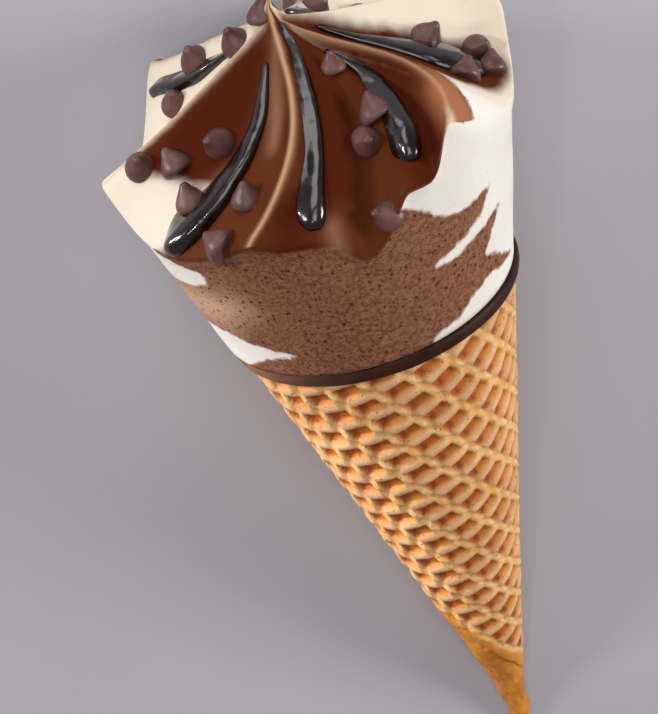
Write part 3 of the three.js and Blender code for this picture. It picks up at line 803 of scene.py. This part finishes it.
# %% The grid's rings
def soften(rings, first, last, reach):
    """Averages rings first to last along the columns, over about `reach` millimetres."""
    step = np.linalg.norm(np.diff(rings[first:last], axis=0), axis=-1).mean()
    smoothed = rings.copy()
    for _ in range(max(1, round((reach / step) ** 2))):
        before, after = smoothed[first - 1:last - 1], smoothed[first + 1:last + 1]
        smoothed[first:last] = 0.5 * smoothed[first:last] + 0.25 * before + 0.25 * after
    return smoothed


def ice_cream_rings():
    """Rings from the floor inside the lining, up the side, over the lip and up to the peak."""
    lip = find_lips()
    lip_bearing, lip_height, _ = column_point(lip)
    inner = WALL + LINING + 2 * GAP
    low = LINING_FLOOR + 6 + 2 * GAP
    rings = [
        around(low * SIN - inner, lip_bearing, low * COS),
        around(FILL_BOTTOM * TAN - inner, lip_bearing, FILL_BOTTOM),
    ]
    for share in np.linspace(0, 1, SIDE_RINGS, endpoint=False) ** 0.85:
        height = FILL_BOTTOM + (lip_height - FILL_BOTTOM) * share
        rings.append(around(side_radius(height, lip_height), lip_bearing, height) + FILL_SHIFT)
    for share in np.linspace(1, 0.02, TOP_RINGS):
        bearing, height, _ = column_point(share * lip)
        tip = PEAK_TIP * np.maximum(0, 1 - share * lip / PEAK_TIP_RADIUS) ** 2
        rings.append(around(share * lip, bearing, height + tip) + FILL_SHIFT)
    rings = np.stack([np.broadcast_to(ring, (len(COLUMNS), 1, 3))[:, 0] for ring in rings])
    first = INNER_RINGS + SIDE_RINGS
    sharp = soften(rings, first - 8, first + 8, LIP_ROUNDING)
    soft = soften(rings, first - 16, first + 16, SOFT_LIP_ROUNDING)
    return sharp + (soft - sharp) * SOFT_LIPS


RINGS = ice_cream_rings()
print("ice cream rings:", RINGS.shape)

# %% [markdown]
# ## Marbling
#
# Chocolate and vanilla run into each other in tongues and streaks while the cone is filled. A texture
# would put them anywhere, so they are brushed on one by one: a stroke is a few places on the surface,
# each with half the stroke's width, and every point of the mesh keeps how deep it lies in the
# vanilla, in millimetres. The shader turns that depth into a soft edge, finer than the mesh.

# %% Brush strokes
DEEP = 6.0  # depths are told apart only up to this one
LIP_WRAP = 1.0  # how far the star's brown laps over the lip


def on_side(*places):
    """A stroke on the smooth side, through places with a bearing, a height and half a width."""
    return [
        [*(around(height * TAN, bearing, height) + FILL_SHIFT), half_width]
        for bearing, height, half_width in places
    ]


def on_top(*places):
    """A stroke on the star, through places with a distance from the axis, a bearing and half a width."""
    return [[*on_star(radius, bearing), half_width] for radius, bearing, half_width in places]


def depth_in(points, stroke):
    """How deep each point lies in a stroke, negative outside."""
    places = np.array(stroke)
    deepest = np.full(len(points), -1e3)
    for start, end in zip(places[:-1], places[1:]):
        way = end[:3] - start[:3]
        share = np.clip((points - start[:3]) @ way / (way @ way), 0, 1)
        distance = np.linalg.norm(points - start[:3] - share[:, None] * way, axis=1)
        deepest = np.maximum(deepest, start[3] + share * (end[3] - start[3]) - distance)
    return deepest


def brush(points, strokes, base):
    """Strokes over a base, in order: each adds (+1) or takes away (-1)."""
    depth = np.array(base, float)
    for sign, stroke in strokes:
        inside = depth_in(points, stroke)
        depth = np.maximum(depth, inside) if sign > 0 else np.minimum(depth, -inside)
    return np.clip(depth, -DEEP, DEEP)


# %% Where the vanilla and the chocolate are on the side
VANILLA, CHOCOLATE = 1, -1
SIDE_STROKES = [
    (CHOCOLATE, on_side((-95, 128, 3), (-70, 128, 5), (-54, 133, 10), (-35, 132, 15), (0, 130, 15),
                        (12, 126, 13), (20, 123, 10), (28, 123, 6))),
    (CHOCOLATE, on_side((-58, 114, 1.5), (-40, 116, 4), (-20, 114.5, 3.5), (15, 115, 2))),
    (CHOCOLATE, on_side((15, 133, 5), (22, 133.9, 4.2), (32, 133.3, 2.5), (40, 133.8, 1.9),
                        (47, 135.7, 0.2))),
    (CHOCOLATE, on_side((20, 124, 5.5), (30, 124, 4.4), (40, 127, 2.6), (47, 129, 1.2),
                        (53, 130.7, 0.2))),
    (CHOCOLATE, on_side((30, 121, 3.5), (40, 122.5, 2.6), (47, 121.5, 1.6), (54, 119.6, 1.0),
                        (63, 118.6, 0.2))),
    (VANILLA, on_side((20, 114.5, 2.2), (30, 114.3, 3), (38, 116, 3.6), (50, 116.3, 2.8),
                      (65, 116, 2.5))),
    (VANILLA, on_side((22, 129.3, 0.3), (30, 129.5, 1.1), (37, 130.3, 0.9), (43, 131.3, 0.6),
                      (55, 133, 2))),
    (VANILLA, on_side((-78, 137.5, 3.5), (-60, 137, 3.2), (-50, 137, 1.7))),
    (VANILLA, on_side((-85, 118, 6), (-57, 120, 3.8), (-45, 120.4, 1.7), (-31, 120.2, 0.2))),
    (CHOCOLATE, on_side((120, 118, 8), (150, 126, 9), (185, 122, 10), (225, 130, 3))),
    (CHOCOLATE, on_side((88, 131, 0.3), (105, 134, 3), (140, 140, 6))),
    (CHOCOLATE, on_side((40, 154, 2.6), (40, 151.6, 2.6))),
]

# %% Where they are on the star
HOLLOW_KINDS = [CHOCOLATE, CHOCOLATE, CHOCOLATE, CHOCOLATE, VANILLA, VANILLA, CHOCOLATE, VANILLA]
TOP_STROKES = [
    (VANILLA, on_top((31.5, -77, 4.5), (28.5, -67, 3.8), (26, -60, 2.6), (24.6, -54, 1.2),
                     (23, -45, 0.2))),
    (VANILLA, on_top((32, -70, 5), (29, -62, 4.4), (27.5, -55, 2.6))),
    (CHOCOLATE, on_top((2, 58, 1.2), (11, 65, 4.3), (17, 69, 6.6), (22.5, 73, 7), (26, 77, 6),
                       (29, 79, 3))),
    (CHOCOLATE, on_top((2, 40, 1), (10, 42.5, 2.5), (18, 46.5, 2.6), (24, 45.5, 2.2), (28, 42.5, 1.4),
                       (31, 39, 0.6))),
    (CHOCOLATE, on_top((10, 50, 3), (20, 54, 4), (26, 47, 3.4), (30, 42, 3.4), (33, 39, 3))),
]


# %% Masks over the whole ice cream
def star_base():
    """For each column the kind of its hollow, and whether the kind changes over its crest."""
    base = []
    for k, kind in enumerate(HOLLOW_KINDS):
        before, after = HOLLOW_KINDS[k - 1], HOLLOW_KINDS[(k + 1) % len(HOLLOW_KINDS)]
        base += [(kind, kind != before)] * FLANK_COLUMNS + [(kind, kind != after)] * FLANK_COLUMNS
    return np.array(base)


def ice_cream_masks():
    """Depth in the vanilla, strength of the painted highlight on the crests and one lip, and how far a point
    is the star's.
    """
    kind, changes = star_base().T
    vanilla, crest, star = [], [], []
    lip = find_lips()
    first_top = len(RINGS) - TOP_RINGS
    lip_ring = RINGS[first_top]
    base = kind * np.where(changes, column_point(lip)[2][:, 0], DEEP)
    at_lip = brush(lip_ring, TOP_STROKES[:2], base)
    shares = np.concatenate([np.ones(first_top), np.linspace(1, 0.02, TOP_RINGS)])
    for k, ring in enumerate(RINGS):
        from_crest = column_point(shares[k] * lip)[2][:, 0]
        from_lip = np.linalg.norm(ring - lip_ring, axis=1)
        if k >= first_top:
            base = kind * np.where(changes, from_crest, DEEP)
            vanilla.append(brush(ring, TOP_STROKES, base))
            star.append(np.ones(len(ring)))
        else:
            over = smoothstep(LIP_WRAP - from_lip, -0.5, 0.5) * smoothstep(-at_lip, -1, 1)
            plain = brush(ring, SIDE_STROKES, np.full(len(ring), DEEP))
            vanilla.append(plain + (at_lip - plain) * over)
            star.append(over)
        # a painted highlight along each crest and along one lip
        light = CREST_LINES[CREST_OF] * np.exp(-(from_crest / 0.4) ** 2) * (k >= first_top)
        lip_line = LIP_LINE * LIGHT_LIPS * np.exp(-(from_lip / 0.5) ** 2)
        crest.append(np.maximum(light, lip_line))
    return np.stack(vanilla), np.stack(crest), np.stack(star)


VANILLA_DEPTH, CREST, STAR = ice_cream_masks()
print("vanilla share:", round(float((VANILLA_DEPTH > 0).mean()), 2))

# %% [markdown]
# ## Tones of the chocolate
#
# The chocolate ice cream isn't one brown: it is a dark red brown where the nozzle dragged it thin, and
# there partly painted shade, milky beside the crests, partly painted light, and caramel where vanilla
# shines through. A lighter stroke on the left of the side is painted light. These tones use the same
# strokes, with soft edges. One lobe was rubbed against the sleeve, so there the star takes the side's
# finish.

# %% Tones on the star
# darker tones, partly painted shade on flanks and hollows turned from the light
DARK_STROKES = [
    on_top((6, -42, 2), (12, -48, 4), (18, -54, 6), (23, -60, 6), (27, -70, 4)),
    on_top((8, 36, 1.5), (14, 38, 2.5), (20, 37, 4), (26, 31, 4), (32, 26, 4)),
    on_top((8, 42, 1.5), (15, 46, 3.5), (20, 46, 4), (24, 43, 2)),
    on_top((6, 60, 2), (12, 56, 3.5), (17, 54, 3.5)),
    on_top((4, 25, 1), (10, 14, 3), (16, 7, 4), (21, 4, 4), (27, 1, 2.5)),
    on_top((8, 6, 1.5), (14, -1, 2), (20, -6, 2)),
    on_top((29, -13, 3), (32, -14, 3)),
    on_top((6, 74, 1.5), (12, 80, 3), (18, 84, 4), (27, 85, 3.5)),
]
# lighter, milky tones, partly painted light on flanks turned to the light
MILK_AND_LIGHT_STROKES = [
    on_top((5, -5, 1.2), (10, -9, 2.2), (15, -12, 2.2), (19, -17, 1.2)),
    on_top((30.5, -3, 0.8), (33, -5, 1.2)),
    on_top((22, -42, 2), (24, -44, 2)),
]
CARAMEL_STROKES = [
    on_top((24, 49, 2), (28, 45, 3.2), (30, 42, 4), (33, 38, 3.5)),
]
SIDE_LIGHT_AND_TAN_STROKES = [
    # painted light on the left side, where the light from the left falls
    on_side((-75, 129, 5), (-56, 130, 5), (-42, 131, 2)),
    # a tan smear below a lobe
    on_side((40, 154, 6), (40, 151, 6)),
]
RUBBED_STROKES = [
    on_top((30.5, 50, 3.5), (31.5, 55, 3.2), (32.5, 60, 2.2), (33, 66, 1.4)),
]


# %% Build the ice cream
def tone(strokes, softness):
    """A mask that is 1 well inside any of the strokes."""
    points = RINGS.reshape(-1, 3)
    deepest = np.max([depth_in(points, stroke) for stroke in strokes], axis=0)
    return smoothstep(deepest, -softness, softness).reshape(STAR.shape)


DARK, CARAMEL = STAR * tone(DARK_STROKES, 2.5), STAR * tone(CARAMEL_STROKES, 2.0)
# lighter tones: on the star partly painted light, on the side painted light and a tan smear
MILK_AND_LIGHT = STAR * tone(MILK_AND_LIGHT_STROKES, 2.0) + (1 - STAR) * tone(SIDE_LIGHT_AND_TAN_STROKES, 5.0)
STAR = STAR * (1 - tone(RUBBED_STROKES, 1.0))


def build_ice_cream():
    outward = RINGS - np.array([0, 0, 1]) * RINGS[..., 2:]
    outward /= np.maximum(np.linalg.norm(outward, axis=-1, keepdims=True), 1e-6)
    way = np.where(STAR[..., None] > 0, np.array([0.0, 0.0, 1.0]), outward)
    rough = 0.16 * unevenness(RINGS, 8, 21) + 0.05 * unevenness(RINGS, 2.2, 22)
    seen = (np.arange(len(RINGS)) > INNER_RINGS)[:, None, None]
    rings = RINGS + way * rough[..., None] * seen
    peak = np.array([0, PEAK_LEAN, PEAK + PEAK_TIP]) + FILL_SHIFT
    points, faces = join_rings(rings, [[0, 0, RINGS[0, 0, 2]], peak])
    masks = {"vanilla": VANILLA_DEPTH, "crest": CREST, "star": STAR}
    masks |= {"dark": DARK, "milk_and_light": MILK_AND_LIGHT, "caramel": CARAMEL}
    for mask, values in masks.items():
        masks[mask] = np.append(values, [values[0, 0], values[-1, 0]])
    return make_piece("marbled_ice_cream", points, faces, masks)


ice_cream = build_ice_cream()

# %% [markdown]
# ## The finish of the ice cream
#
# Ice cream is matte, and light goes a little way into it, so it gets some subsurface scattering. The
# sleeved side shows its pores as fine dark specks, most of all in the chocolate; their darkness is
# painted shade. The piped star is smoother. Where chocolate meets vanilla the edge is soft, over about
# a millimetre on the side and over two or three on the star.

# %% Paint the ice cream
def paint_ice_cream():
    material, tree, inputs = new_finish(
        "marbled_ice_cream", Roughness=0.6, Specular_IOR_Level=0.02,
        Subsurface_Weight=0.06, Subsurface_Scale=0.001, Subsurface_Radius=(1.0, 0.6, 0.4),
    )
    star = read_mask(tree, "star")
    waver = effect(tree, MOTTLE, Size=1.6, Contrast=1.0, Detail=3.0)
    clouds = effect(tree, MOTTLE, Size=11.0, Contrast=1.1, Detail=2.0)
    small_pores = effect(tree, PITS, Spacing=0.62, Width=0.32, Share=0.4)
    big_pores = effect(tree, PITS, Spacing=1.15, Width=0.26, Share=0.5)
    pores = maths(tree, "ADD", times(tree, small_pores, 0.7), big_pores, clamp=True)
    specks = effect(tree, PITS, Spacing=1.9, Width=0.14, Share=0.5)
    grain = effect(tree, GRAIN, Size=0.7)
    bend = maths(tree, "SUBTRACT", waver, 0.5)
    bend = times(tree, bend, between(tree, star, 0.0, 1.0, 0.7, 0.3))
    depth = maths(tree, "ADD", read_mask(tree, "vanilla"), bend)
    softness = between(tree, star, 0.0, 1.0, 0.4, 1.3)
    vanilla = between(tree, maths(tree, "DIVIDE", depth, softness), -1.0, 1.0)

    side_brown = layers(
        tree, colour(112, 68, 46),
        (clouds, colour(124, 79, 57)),
        (between(tree, grain, 0.55, 0.85, 0.0, 0.8), colour(152, 108, 84)),
        # on the side: painted light on the left, and a tan smear
        (read_mask(tree, "milk_and_light"), colour(196, 154, 126)),
        # the pores are painted dark: painted shade in them
        (times(tree, pores, 0.7), colour(66, 36, 24)),
    )
    star_brown = layers(
        tree, colour(84, 40, 19),
        (clouds, colour(94, 48, 25)),
        # milky tone, partly painted light
        (read_mask(tree, "milk_and_light"), colour(140, 96, 74)),
        (read_mask(tree, "caramel"), colour(162, 104, 70)),
        # dark red brown, partly painted shade
        (times(tree, read_mask(tree, "dark"), 0.9), colour(76, 27, 10)),
    )
    cream = layers(
        tree, colour(228, 221, 207),
        (clouds, colour(236, 231, 220)),
        (times(tree, star, 0.5), colour(222, 200, 168)),
        (times(tree, specks, 0.3), colour(196, 180, 160)),
    )
    painted = layers(
        tree, side_brown,
        (star, star_brown),
        (vanilla, cream),
        # painted highlight along the crests and one lip
        (times(tree, read_mask(tree, "crest"), 0.8), colour(206, 164, 124)),
    )
    tree.links.new(painted, inputs["Base Color"])

    on_brown_side = times(tree, maths(tree, "SUBTRACT", 1.0, star), maths(tree, "SUBTRACT", 1.0, vanilla))
    gritty = times(tree, grain, between(tree, star, 0.0, 1.0, 0.45, 0.12))
    height = maths(tree, "SUBTRACT", gritty, times(tree, pores, on_brown_side))
    raise_surface(tree, height, 0.16, inputs)
    return material


put_on(ice_cream, paint_ice_cream())
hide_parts("ice_cream")
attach(ice_cream, "root")

# %% [markdown]
# ## Chocolate sauce
#
# Sauce runs down a hollow, thin at the peak and gathering in a full round drop. Each streak is a loft
# along a soft line through a few places: its outline follows the hollow's floor, and its back arches
# over it and meets the flanks all round, so that it sits in the hollow as a liquid does.

# %% Where the sauce runs
# places from the thin to the full end: distance from the axis, bearing and the streak's full width
SAUCES = [
    [(6.5, -26, 1), (14, -26, 2.6), (19, -33, 3.5), (24, -41.5, 5), (28, -50, 7), (31, -57, 7)],
    [(2, 30, 0.8), (8, 13, 2), (15.5, 3.5, 3), (21, 0, 3.5), (24, -3, 3.2), (28.5, -7.5, 5.3),
     (30.6, -9, 5.2)],
    [(9.5, 37, 0.9), (13, 39, 1.7), (16, 39, 2.8), (19, 35.5, 3.8), (23.5, 29, 5.2), (28, 24, 6.3),
     (30, 22.5, 6)],
    [(6, 76, 1.2), (8, 75.5, 1.9), (10.5, 75.5, 1.6), (14, 78, 3.2), (20, 79, 6), (24, 78, 7.4),
     (28.5, 80, 5.4)],
    [(3, 139, 2), (10, 144, 3), (20, 146, 4.4)],
    [(6, 190, 2), (16, 196, 3.6), (27, 195, 5)],
    [(8, -118, 1.6), (12, -121.5, 2.6), (16, -122.5, 4.2), (22, -126, 4.2), (30, -131.5, 3.6)],
]
BACK_LOW, BACK_RISE = 0.25, 0.52  # the back's height: this much, and this share of half the width
LEVELLED = 0.75  # how far the back levels out between the flanks, as a liquid does
BED_DEPTH = 0.7
SAUCE_STATIONS = 60
SAUCE_SIDES = 32


# %% Lines on the star
def star_normal(radius, bearing):
    """The way out of the star's surface."""
    step = 0.5
    turn = np.degrees(step / np.maximum(radius, step))
    out = on_star(radius + step, bearing) - on_star(radius - step, bearing)
    round_ = on_star(radius, bearing + turn) - on_star(radius, bearing - turn)
    normal = np.cross(out, round_)
    normal *= np.sign(normal[..., 2:])
    return normal / np.linalg.norm(normal, axis=-1, keepdims=True)


def at_plan(plan):
    """Distance and bearing of a place seen from above."""
    return np.hypot(plan[..., 0], plan[..., 1]), np.degrees(np.arctan2(plan[..., 1], plan[..., 0]))


def soft_line(waypoints):
    """Even places in plan on a soft line through the waypoints, half the width at each, its length."""
    places = np.array(waypoints, float)
    plan = around(places[:, 0], places[:, 1], 0)[:, :2]
    run = np.concatenate([[0], np.cumsum(np.linalg.norm(np.diff(plan, axis=0), axis=1))])
    even = np.linspace(0, run[-1], SAUCE_STATIONS)
    line = np.stack([np.interp(even, run, column) for column in (*plan.T, places[:, 2])], axis=1)
    for _ in range(24):
        line[1:-1] = 0.5 * line[1:-1] + 0.25 * (line[:-2] + line[2:])
    return line[:, :2], 0.5 * line[:, 2], run[-1]


# %% Build and paint the sauce
def sauce_streak(seed, waypoints):
    """A closed skin: rings across the streak, each with a back over the surface and a bed under it."""
    share = np.linspace(0, 1, SAUCE_STATIONS)
    middle, half, length = soft_line(waypoints)
    radius, bearing = at_plan(middle)
    along = np.gradient(middle, axis=0)
    along /= np.linalg.norm(along, axis=1, keepdims=True)
    across = np.stack([-along[:, 1], along[:, 0]], axis=1)
    to_start, to_end = share * length, (1 - share) * length
    half *= 1 + 0.12 * unevenness(np.stack([share * 6, 0 * share + seed, 0 * share], axis=1), 1.0, 31)
    rounded = np.sqrt(np.clip(1 - (1 - np.minimum(to_end / half[-1], 1)) ** 2, 0, 1))
    rounded *= np.sqrt(np.clip(1 - (1 - np.minimum(to_start / (2 * half[0]), 1)) ** 2, 0, 1))
    rounded = np.maximum(rounded, 0.06)
    turn = 2 * np.pi * (np.arange(SAUCE_SIDES) + 0.5) / SAUCE_SIDES
    half = half * rounded
    normal = star_normal(radius, bearing)[:, None]
    centre = on_star(*at_plan(middle))[:, None]
    edges = middle[:, None] + np.array([-1, 1])[:, None] * (half[:, None] * across)[:, None]
    steepness = np.linalg.norm(on_star(*at_plan(edges)) - centre, axis=-1).mean(axis=1) / half
    sideways = (half / steepness)[:, None] * np.cos(turn)
    plan = middle[:, None] + sideways[..., None] * across[:, None]
    floor = on_star(*at_plan(plan))
    arch = np.abs(np.sin(turn)) ** 0.8
    above = np.sin(turn) > 0
    height = (BACK_LOW + BACK_RISE * half)[:, None] * arch
    sag = LEVELLED * arch[:, None] * (centre - floor)[..., 2:]
    back = floor + normal * height[..., None] + sag * np.array([0, 0, 1])
    bed = floor - normal * (BED_DEPTH * arch)[:, None]
    rings = np.where(above[:, None], back, bed)
    return join_rings(rings, [rings[0].mean(axis=0), rings[-1].mean(axis=0)])


def paint_sauce():
    material, tree, inputs = new_finish(
        "chocolate_sauce", Specular_IOR_Level=0.55, Coat_Weight=0.6, Coat_Roughness=0.06,
    )
    clouds = effect(tree, MOTTLE, Size=3.5, Contrast=1.0, Detail=1.0)
    tree.links.new(mix(tree, clouds, colour(12, 6, 4), colour(24, 12, 8)), inputs["Base Color"])
    tree.links.new(between(tree, clouds, 0.2, 0.8, 0.16, 0.26), inputs["Roughness"])
    raise_surface(tree, clouds, 0.25, inputs)
    return material


sauce = make_piece("chocolate_sauce", *join_parts([
    sauce_streak(seed, waypoints) for seed, waypoints in enumerate(SAUCES)
]))
put_on(sauce, paint_sauce())
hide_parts("ice_cream")
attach(sauce, "root")

# %% [markdown]
# ## Chocolate drops
#
# A drop is chocolate let fall on a cold belt: a flat base, a round belly and a tip that curls over as
# it is cut off. One turned profile makes them all; size, lean and curl differ from drop to drop, and
# the tips point every way, as the drops happened to land.

# %% Where the drops stick
DROP_RADIUS, DROP_HEIGHT, DROP_SUNK = 2.6, 4.4, 0.7
# share of the height, and the width there: a round belly that draws in to a small tip
DROP_PROFILE = (
    [0, 0.04, 0.12, 0.22, 0.34, 0.46, 0.58, 0.7, 0.8, 0.88, 0.94, 0.98, 1],
    [0.86, 0.95, 1, 0.99, 0.93, 0.82, 0.67, 0.51, 0.39, 0.3, 0.24, 0.17, 0.01],
)
DROP_SIDES = 26
DROP_LEVELS = 30
# distance from the axis, bearing, lean in degrees, its direction and the size
DROPS = [
    (1.8, -140, 30, 180, 1), (7.4, -122, 20, 180, 1), (17, -128, 25, 170, 1.05),
    (21.5, -118, 50, 150, 0.95), (27, -73.5, 25, 180, 0.95), (23.3, -62, 60, 270, 0.95),
    (18, -47.5, 8, 0, 0.95), (25.5, -52, 50, 250, 0.95), (25.2, -28, 40, 200, 0.95),
    (31, -34, 65, 300, 1.05), (13.2, 27, 45, 270, 0.75), (21.8, 25.5, 65, 260, 0.95),
    (22.4, 17.5, 8, 90, 0.95), (29.6, 12.5, 12, 270, 0.95), (21, 90, 15, 180, 0.98),
    (28, 88, 30, 100, 0.9), (25.8, 69, 50, 270, 0.95), (29.2, 80, 60, 270, 0.95),
    (24, 128, 30, 0, 1), (13, 150, 40, 90, 1), (21.5, 168, 20, 210, 1),
    (29, 196, 45, 120, 1), (17, 205, 30, 300, 1), (27.5, 150, 30, 60, 1),
]


# %% Build and paint the drops
def chocolate_drop(draw, radius, bearing, lean, toward, size):
    """A closed skin on the star's surface, sunk in a little and tipped over."""
    curl, curl_way = draw.uniform(0.3, 0.8), draw.uniform(0, 360)
    level = np.linspace(0, 1, DROP_LEVELS)[:, None]
    turn = np.linspace(0, 360, DROP_SIDES, endpoint=False)
    width = DROP_RADIUS * size * np.interp(level, *DROP_PROFILE)
    height = DROP_HEIGHT * size * level - DROP_SUNK + 0 * turn
    local = around(width, turn, height) + curl * level[..., None] ** 3 * around(1, curl_way, 0)
    normal = Vector(star_normal(radius, bearing))
    tipped = Matrix.Rotation(math.radians(lean), 3, Vector(around(1, toward, 0)))
    placed = Vector((0, 0, 1)).rotation_difference(normal).to_matrix() @ tipped
    rings = local @ np.array(placed).T + on_star(radius, bearing)
    return join_rings(rings, [rings[0].mean(axis=0), rings[-1].mean(axis=0)])


def paint_drops():
    material, tree, inputs = new_finish("milk_chocolate", Specular_IOR_Level=0.5)
    clouds = effect(tree, MOTTLE, Size=3.5, Contrast=1.2, Detail=3.0)
    grain = effect(tree, GRAIN, Size=0.7)
    tree.links.new(mix(tree, clouds, colour(84, 52, 46), colour(104, 68, 60)), inputs["Base Color"])
    tree.links.new(between(tree, clouds, 0.2, 0.8, 0.36, 0.5), inputs["Roughness"])
    raise_surface(tree, grain, 0.035, inputs)
    return material


draw = random.Random(7)
drops = make_piece("chocolate_drops", *join_parts([chocolate_drop(draw, *values) for values in DROPS]))
put_on(drops, paint_drops())
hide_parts("ice_cream")
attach(drops, "root")

# %% [markdown]
# ## Camera
#
# A cone that lies down has its shown side up, so the camera looks steeply down on it. Its place is
# given by what it aims at, how far off it is and three angles, which are applied in that order.

# %% Place the camera
AIM = np.array([-10.52, 18.77, 25.0])
DISTANCE = 247.5
AZIMUTH, ELEVATION, ROLL = 173.09, 69.09, 167.03
FIELD_OF_VIEW = 27.5  # degrees, along the picture's long side

camera_data = bpy.data.cameras.new("camera")
camera_data.lens = camera_data.sensor_width / 2 / math.tan(math.radians(FIELD_OF_VIEW / 2))
camera_data.clip_start, camera_data.clip_end = 0.01, 10
camera = bpy.data.objects.new("camera", camera_data)
bpy.context.scene.collection.objects.link(camera)
turned = (
    Matrix.Rotation(math.radians(AZIMUTH), 4, "Z")
    @ Matrix.Rotation(math.radians(90 - ELEVATION), 4, "X")
    @ Matrix.Rotation(math.radians(ROLL), 4, "Z")
)
RIGHT, UP, BACK = (np.array(turned.col[k][:3]) for k in range(3))
camera.matrix_world = Matrix.Translation((AIM + DISTANCE * BACK) / 1000) @ turned
bpy.context.scene.camera = camera
print("camera at", [round(value, 4) for value in camera.matrix_world.translation])

# %% [markdown]
# ## Floor and light
#
# A pale floor and soft light leave the colours to the food. Two soft boxes light the cone, a small one
# from the left of the picture and a larger one from the right. The smallest gives the sparks on the
# sauce, and the largest, above the picture, draws its long grey sheen. One in line with the camera and
# a pale sky fill in the rest. A spot rakes over the wafer from the left, so that each pocket has a lit
# and a dark wall. It is narrow and aimed at the wafer's middle, because a wider one burns out more of
# the cone's left side.

# %% Ways to place a light
def place_light(light, way, aim, distance, watts, tint):
    """A lamp that shines on a place from right, up and back shares of the camera's axes."""
    light.energy, light.color = watts, tint
    lamp = bpy.data.objects.new(light.name, light)
    bpy.context.scene.collection.objects.link(lamp)
    toward = way[0] * RIGHT + way[1] * UP + way[2] * BACK
    toward = Vector(toward / np.linalg.norm(toward))
    lamp.location = Vector(aim / 1000) + toward * distance
    lamp.rotation_euler = toward.to_track_quat("Z", "Y").to_euler()


def soft_box(name, way, distance, size, watts, tint=(1.0, 1.0, 1.0)):
    """A square light on the whole cone."""
    light = bpy.data.lights.new(name, "AREA")
    light.shape, light.size = "SQUARE", size
    place_light(light, way, AIM, distance, watts, tint)


# %% Light the cone
soft_box("main_light", (-0.85, 0.0, 0.5), 1.0, 0.16, 4.0, (1.0, 0.985, 0.96))
soft_box("spark_light", (-0.3, -0.35, 0.9), 0.8, 0.04, 0.4)
soft_box("edge_light", (0.9, 0.1, 0.35), 1.0, 0.3, 7.0)
soft_box("front_light", (0.0, 0.0, 1.0), 1.0, 0.5, 2.5, (0.98, 0.98, 1.0))
soft_box("sheen_light", (-0.35, 0.85, 0.75), 1.0, 0.6, 3.0)
WAFER_MIDDLE = AIM + 24 * RIGHT - 40 * UP
wafer_spot = bpy.data.lights.new("wafer_spot", "SPOT")
wafer_spot.spot_size, wafer_spot.spot_blend = math.radians(6.8), 0.8
wafer_spot.shadow_soft_size = 0.04
place_light(wafer_spot, (-1.0, 0.2, 0.17), WAFER_MIDDLE, 1.0, 50.0, (1.0, 1.0, 1.1))

# %% The sky and the floor
world = bpy.data.worlds.new("studio")
world.use_nodes = True
sky = world.node_tree.nodes["Background"].inputs
sky["Color"].default_value = colour(236, 236, 240)
sky["Strength"].default_value = 0.26
bpy.context.scene.world = world
bpy.context.scene.view_settings.view_transform = "Standard"

REACH = 2.0  # metres from the middle to the floor's edges
corners = [(-REACH, -REACH, 0), (REACH, -REACH, 0), (REACH, REACH, 0), (-REACH, REACH, 0)]
floor_mesh = bpy.data.meshes.new("floor")
floor_mesh.from_pydata(corners, [], [(0, 1, 2, 3)])
floor = bpy.data.objects.new("floor", floor_mesh)
floor.location.z = -0.0002  # just under the cone's flat spot
bpy.context.scene.collection.objects.link(floor)
floor_paint, floor_tree, floor_inputs = new_finish("pale_floor", Roughness=0.7)
floor_clouds = effect(floor_tree, MOTTLE, Size=60.0, Contrast=0.6, Detail=2.0)
pale = mix(floor_tree, floor_clouds, colour(168, 166, 172), colour(176, 174, 180))
floor_tree.links.new(pale, floor_inputs["Base Color"])
put_on(floor, floor_paint)
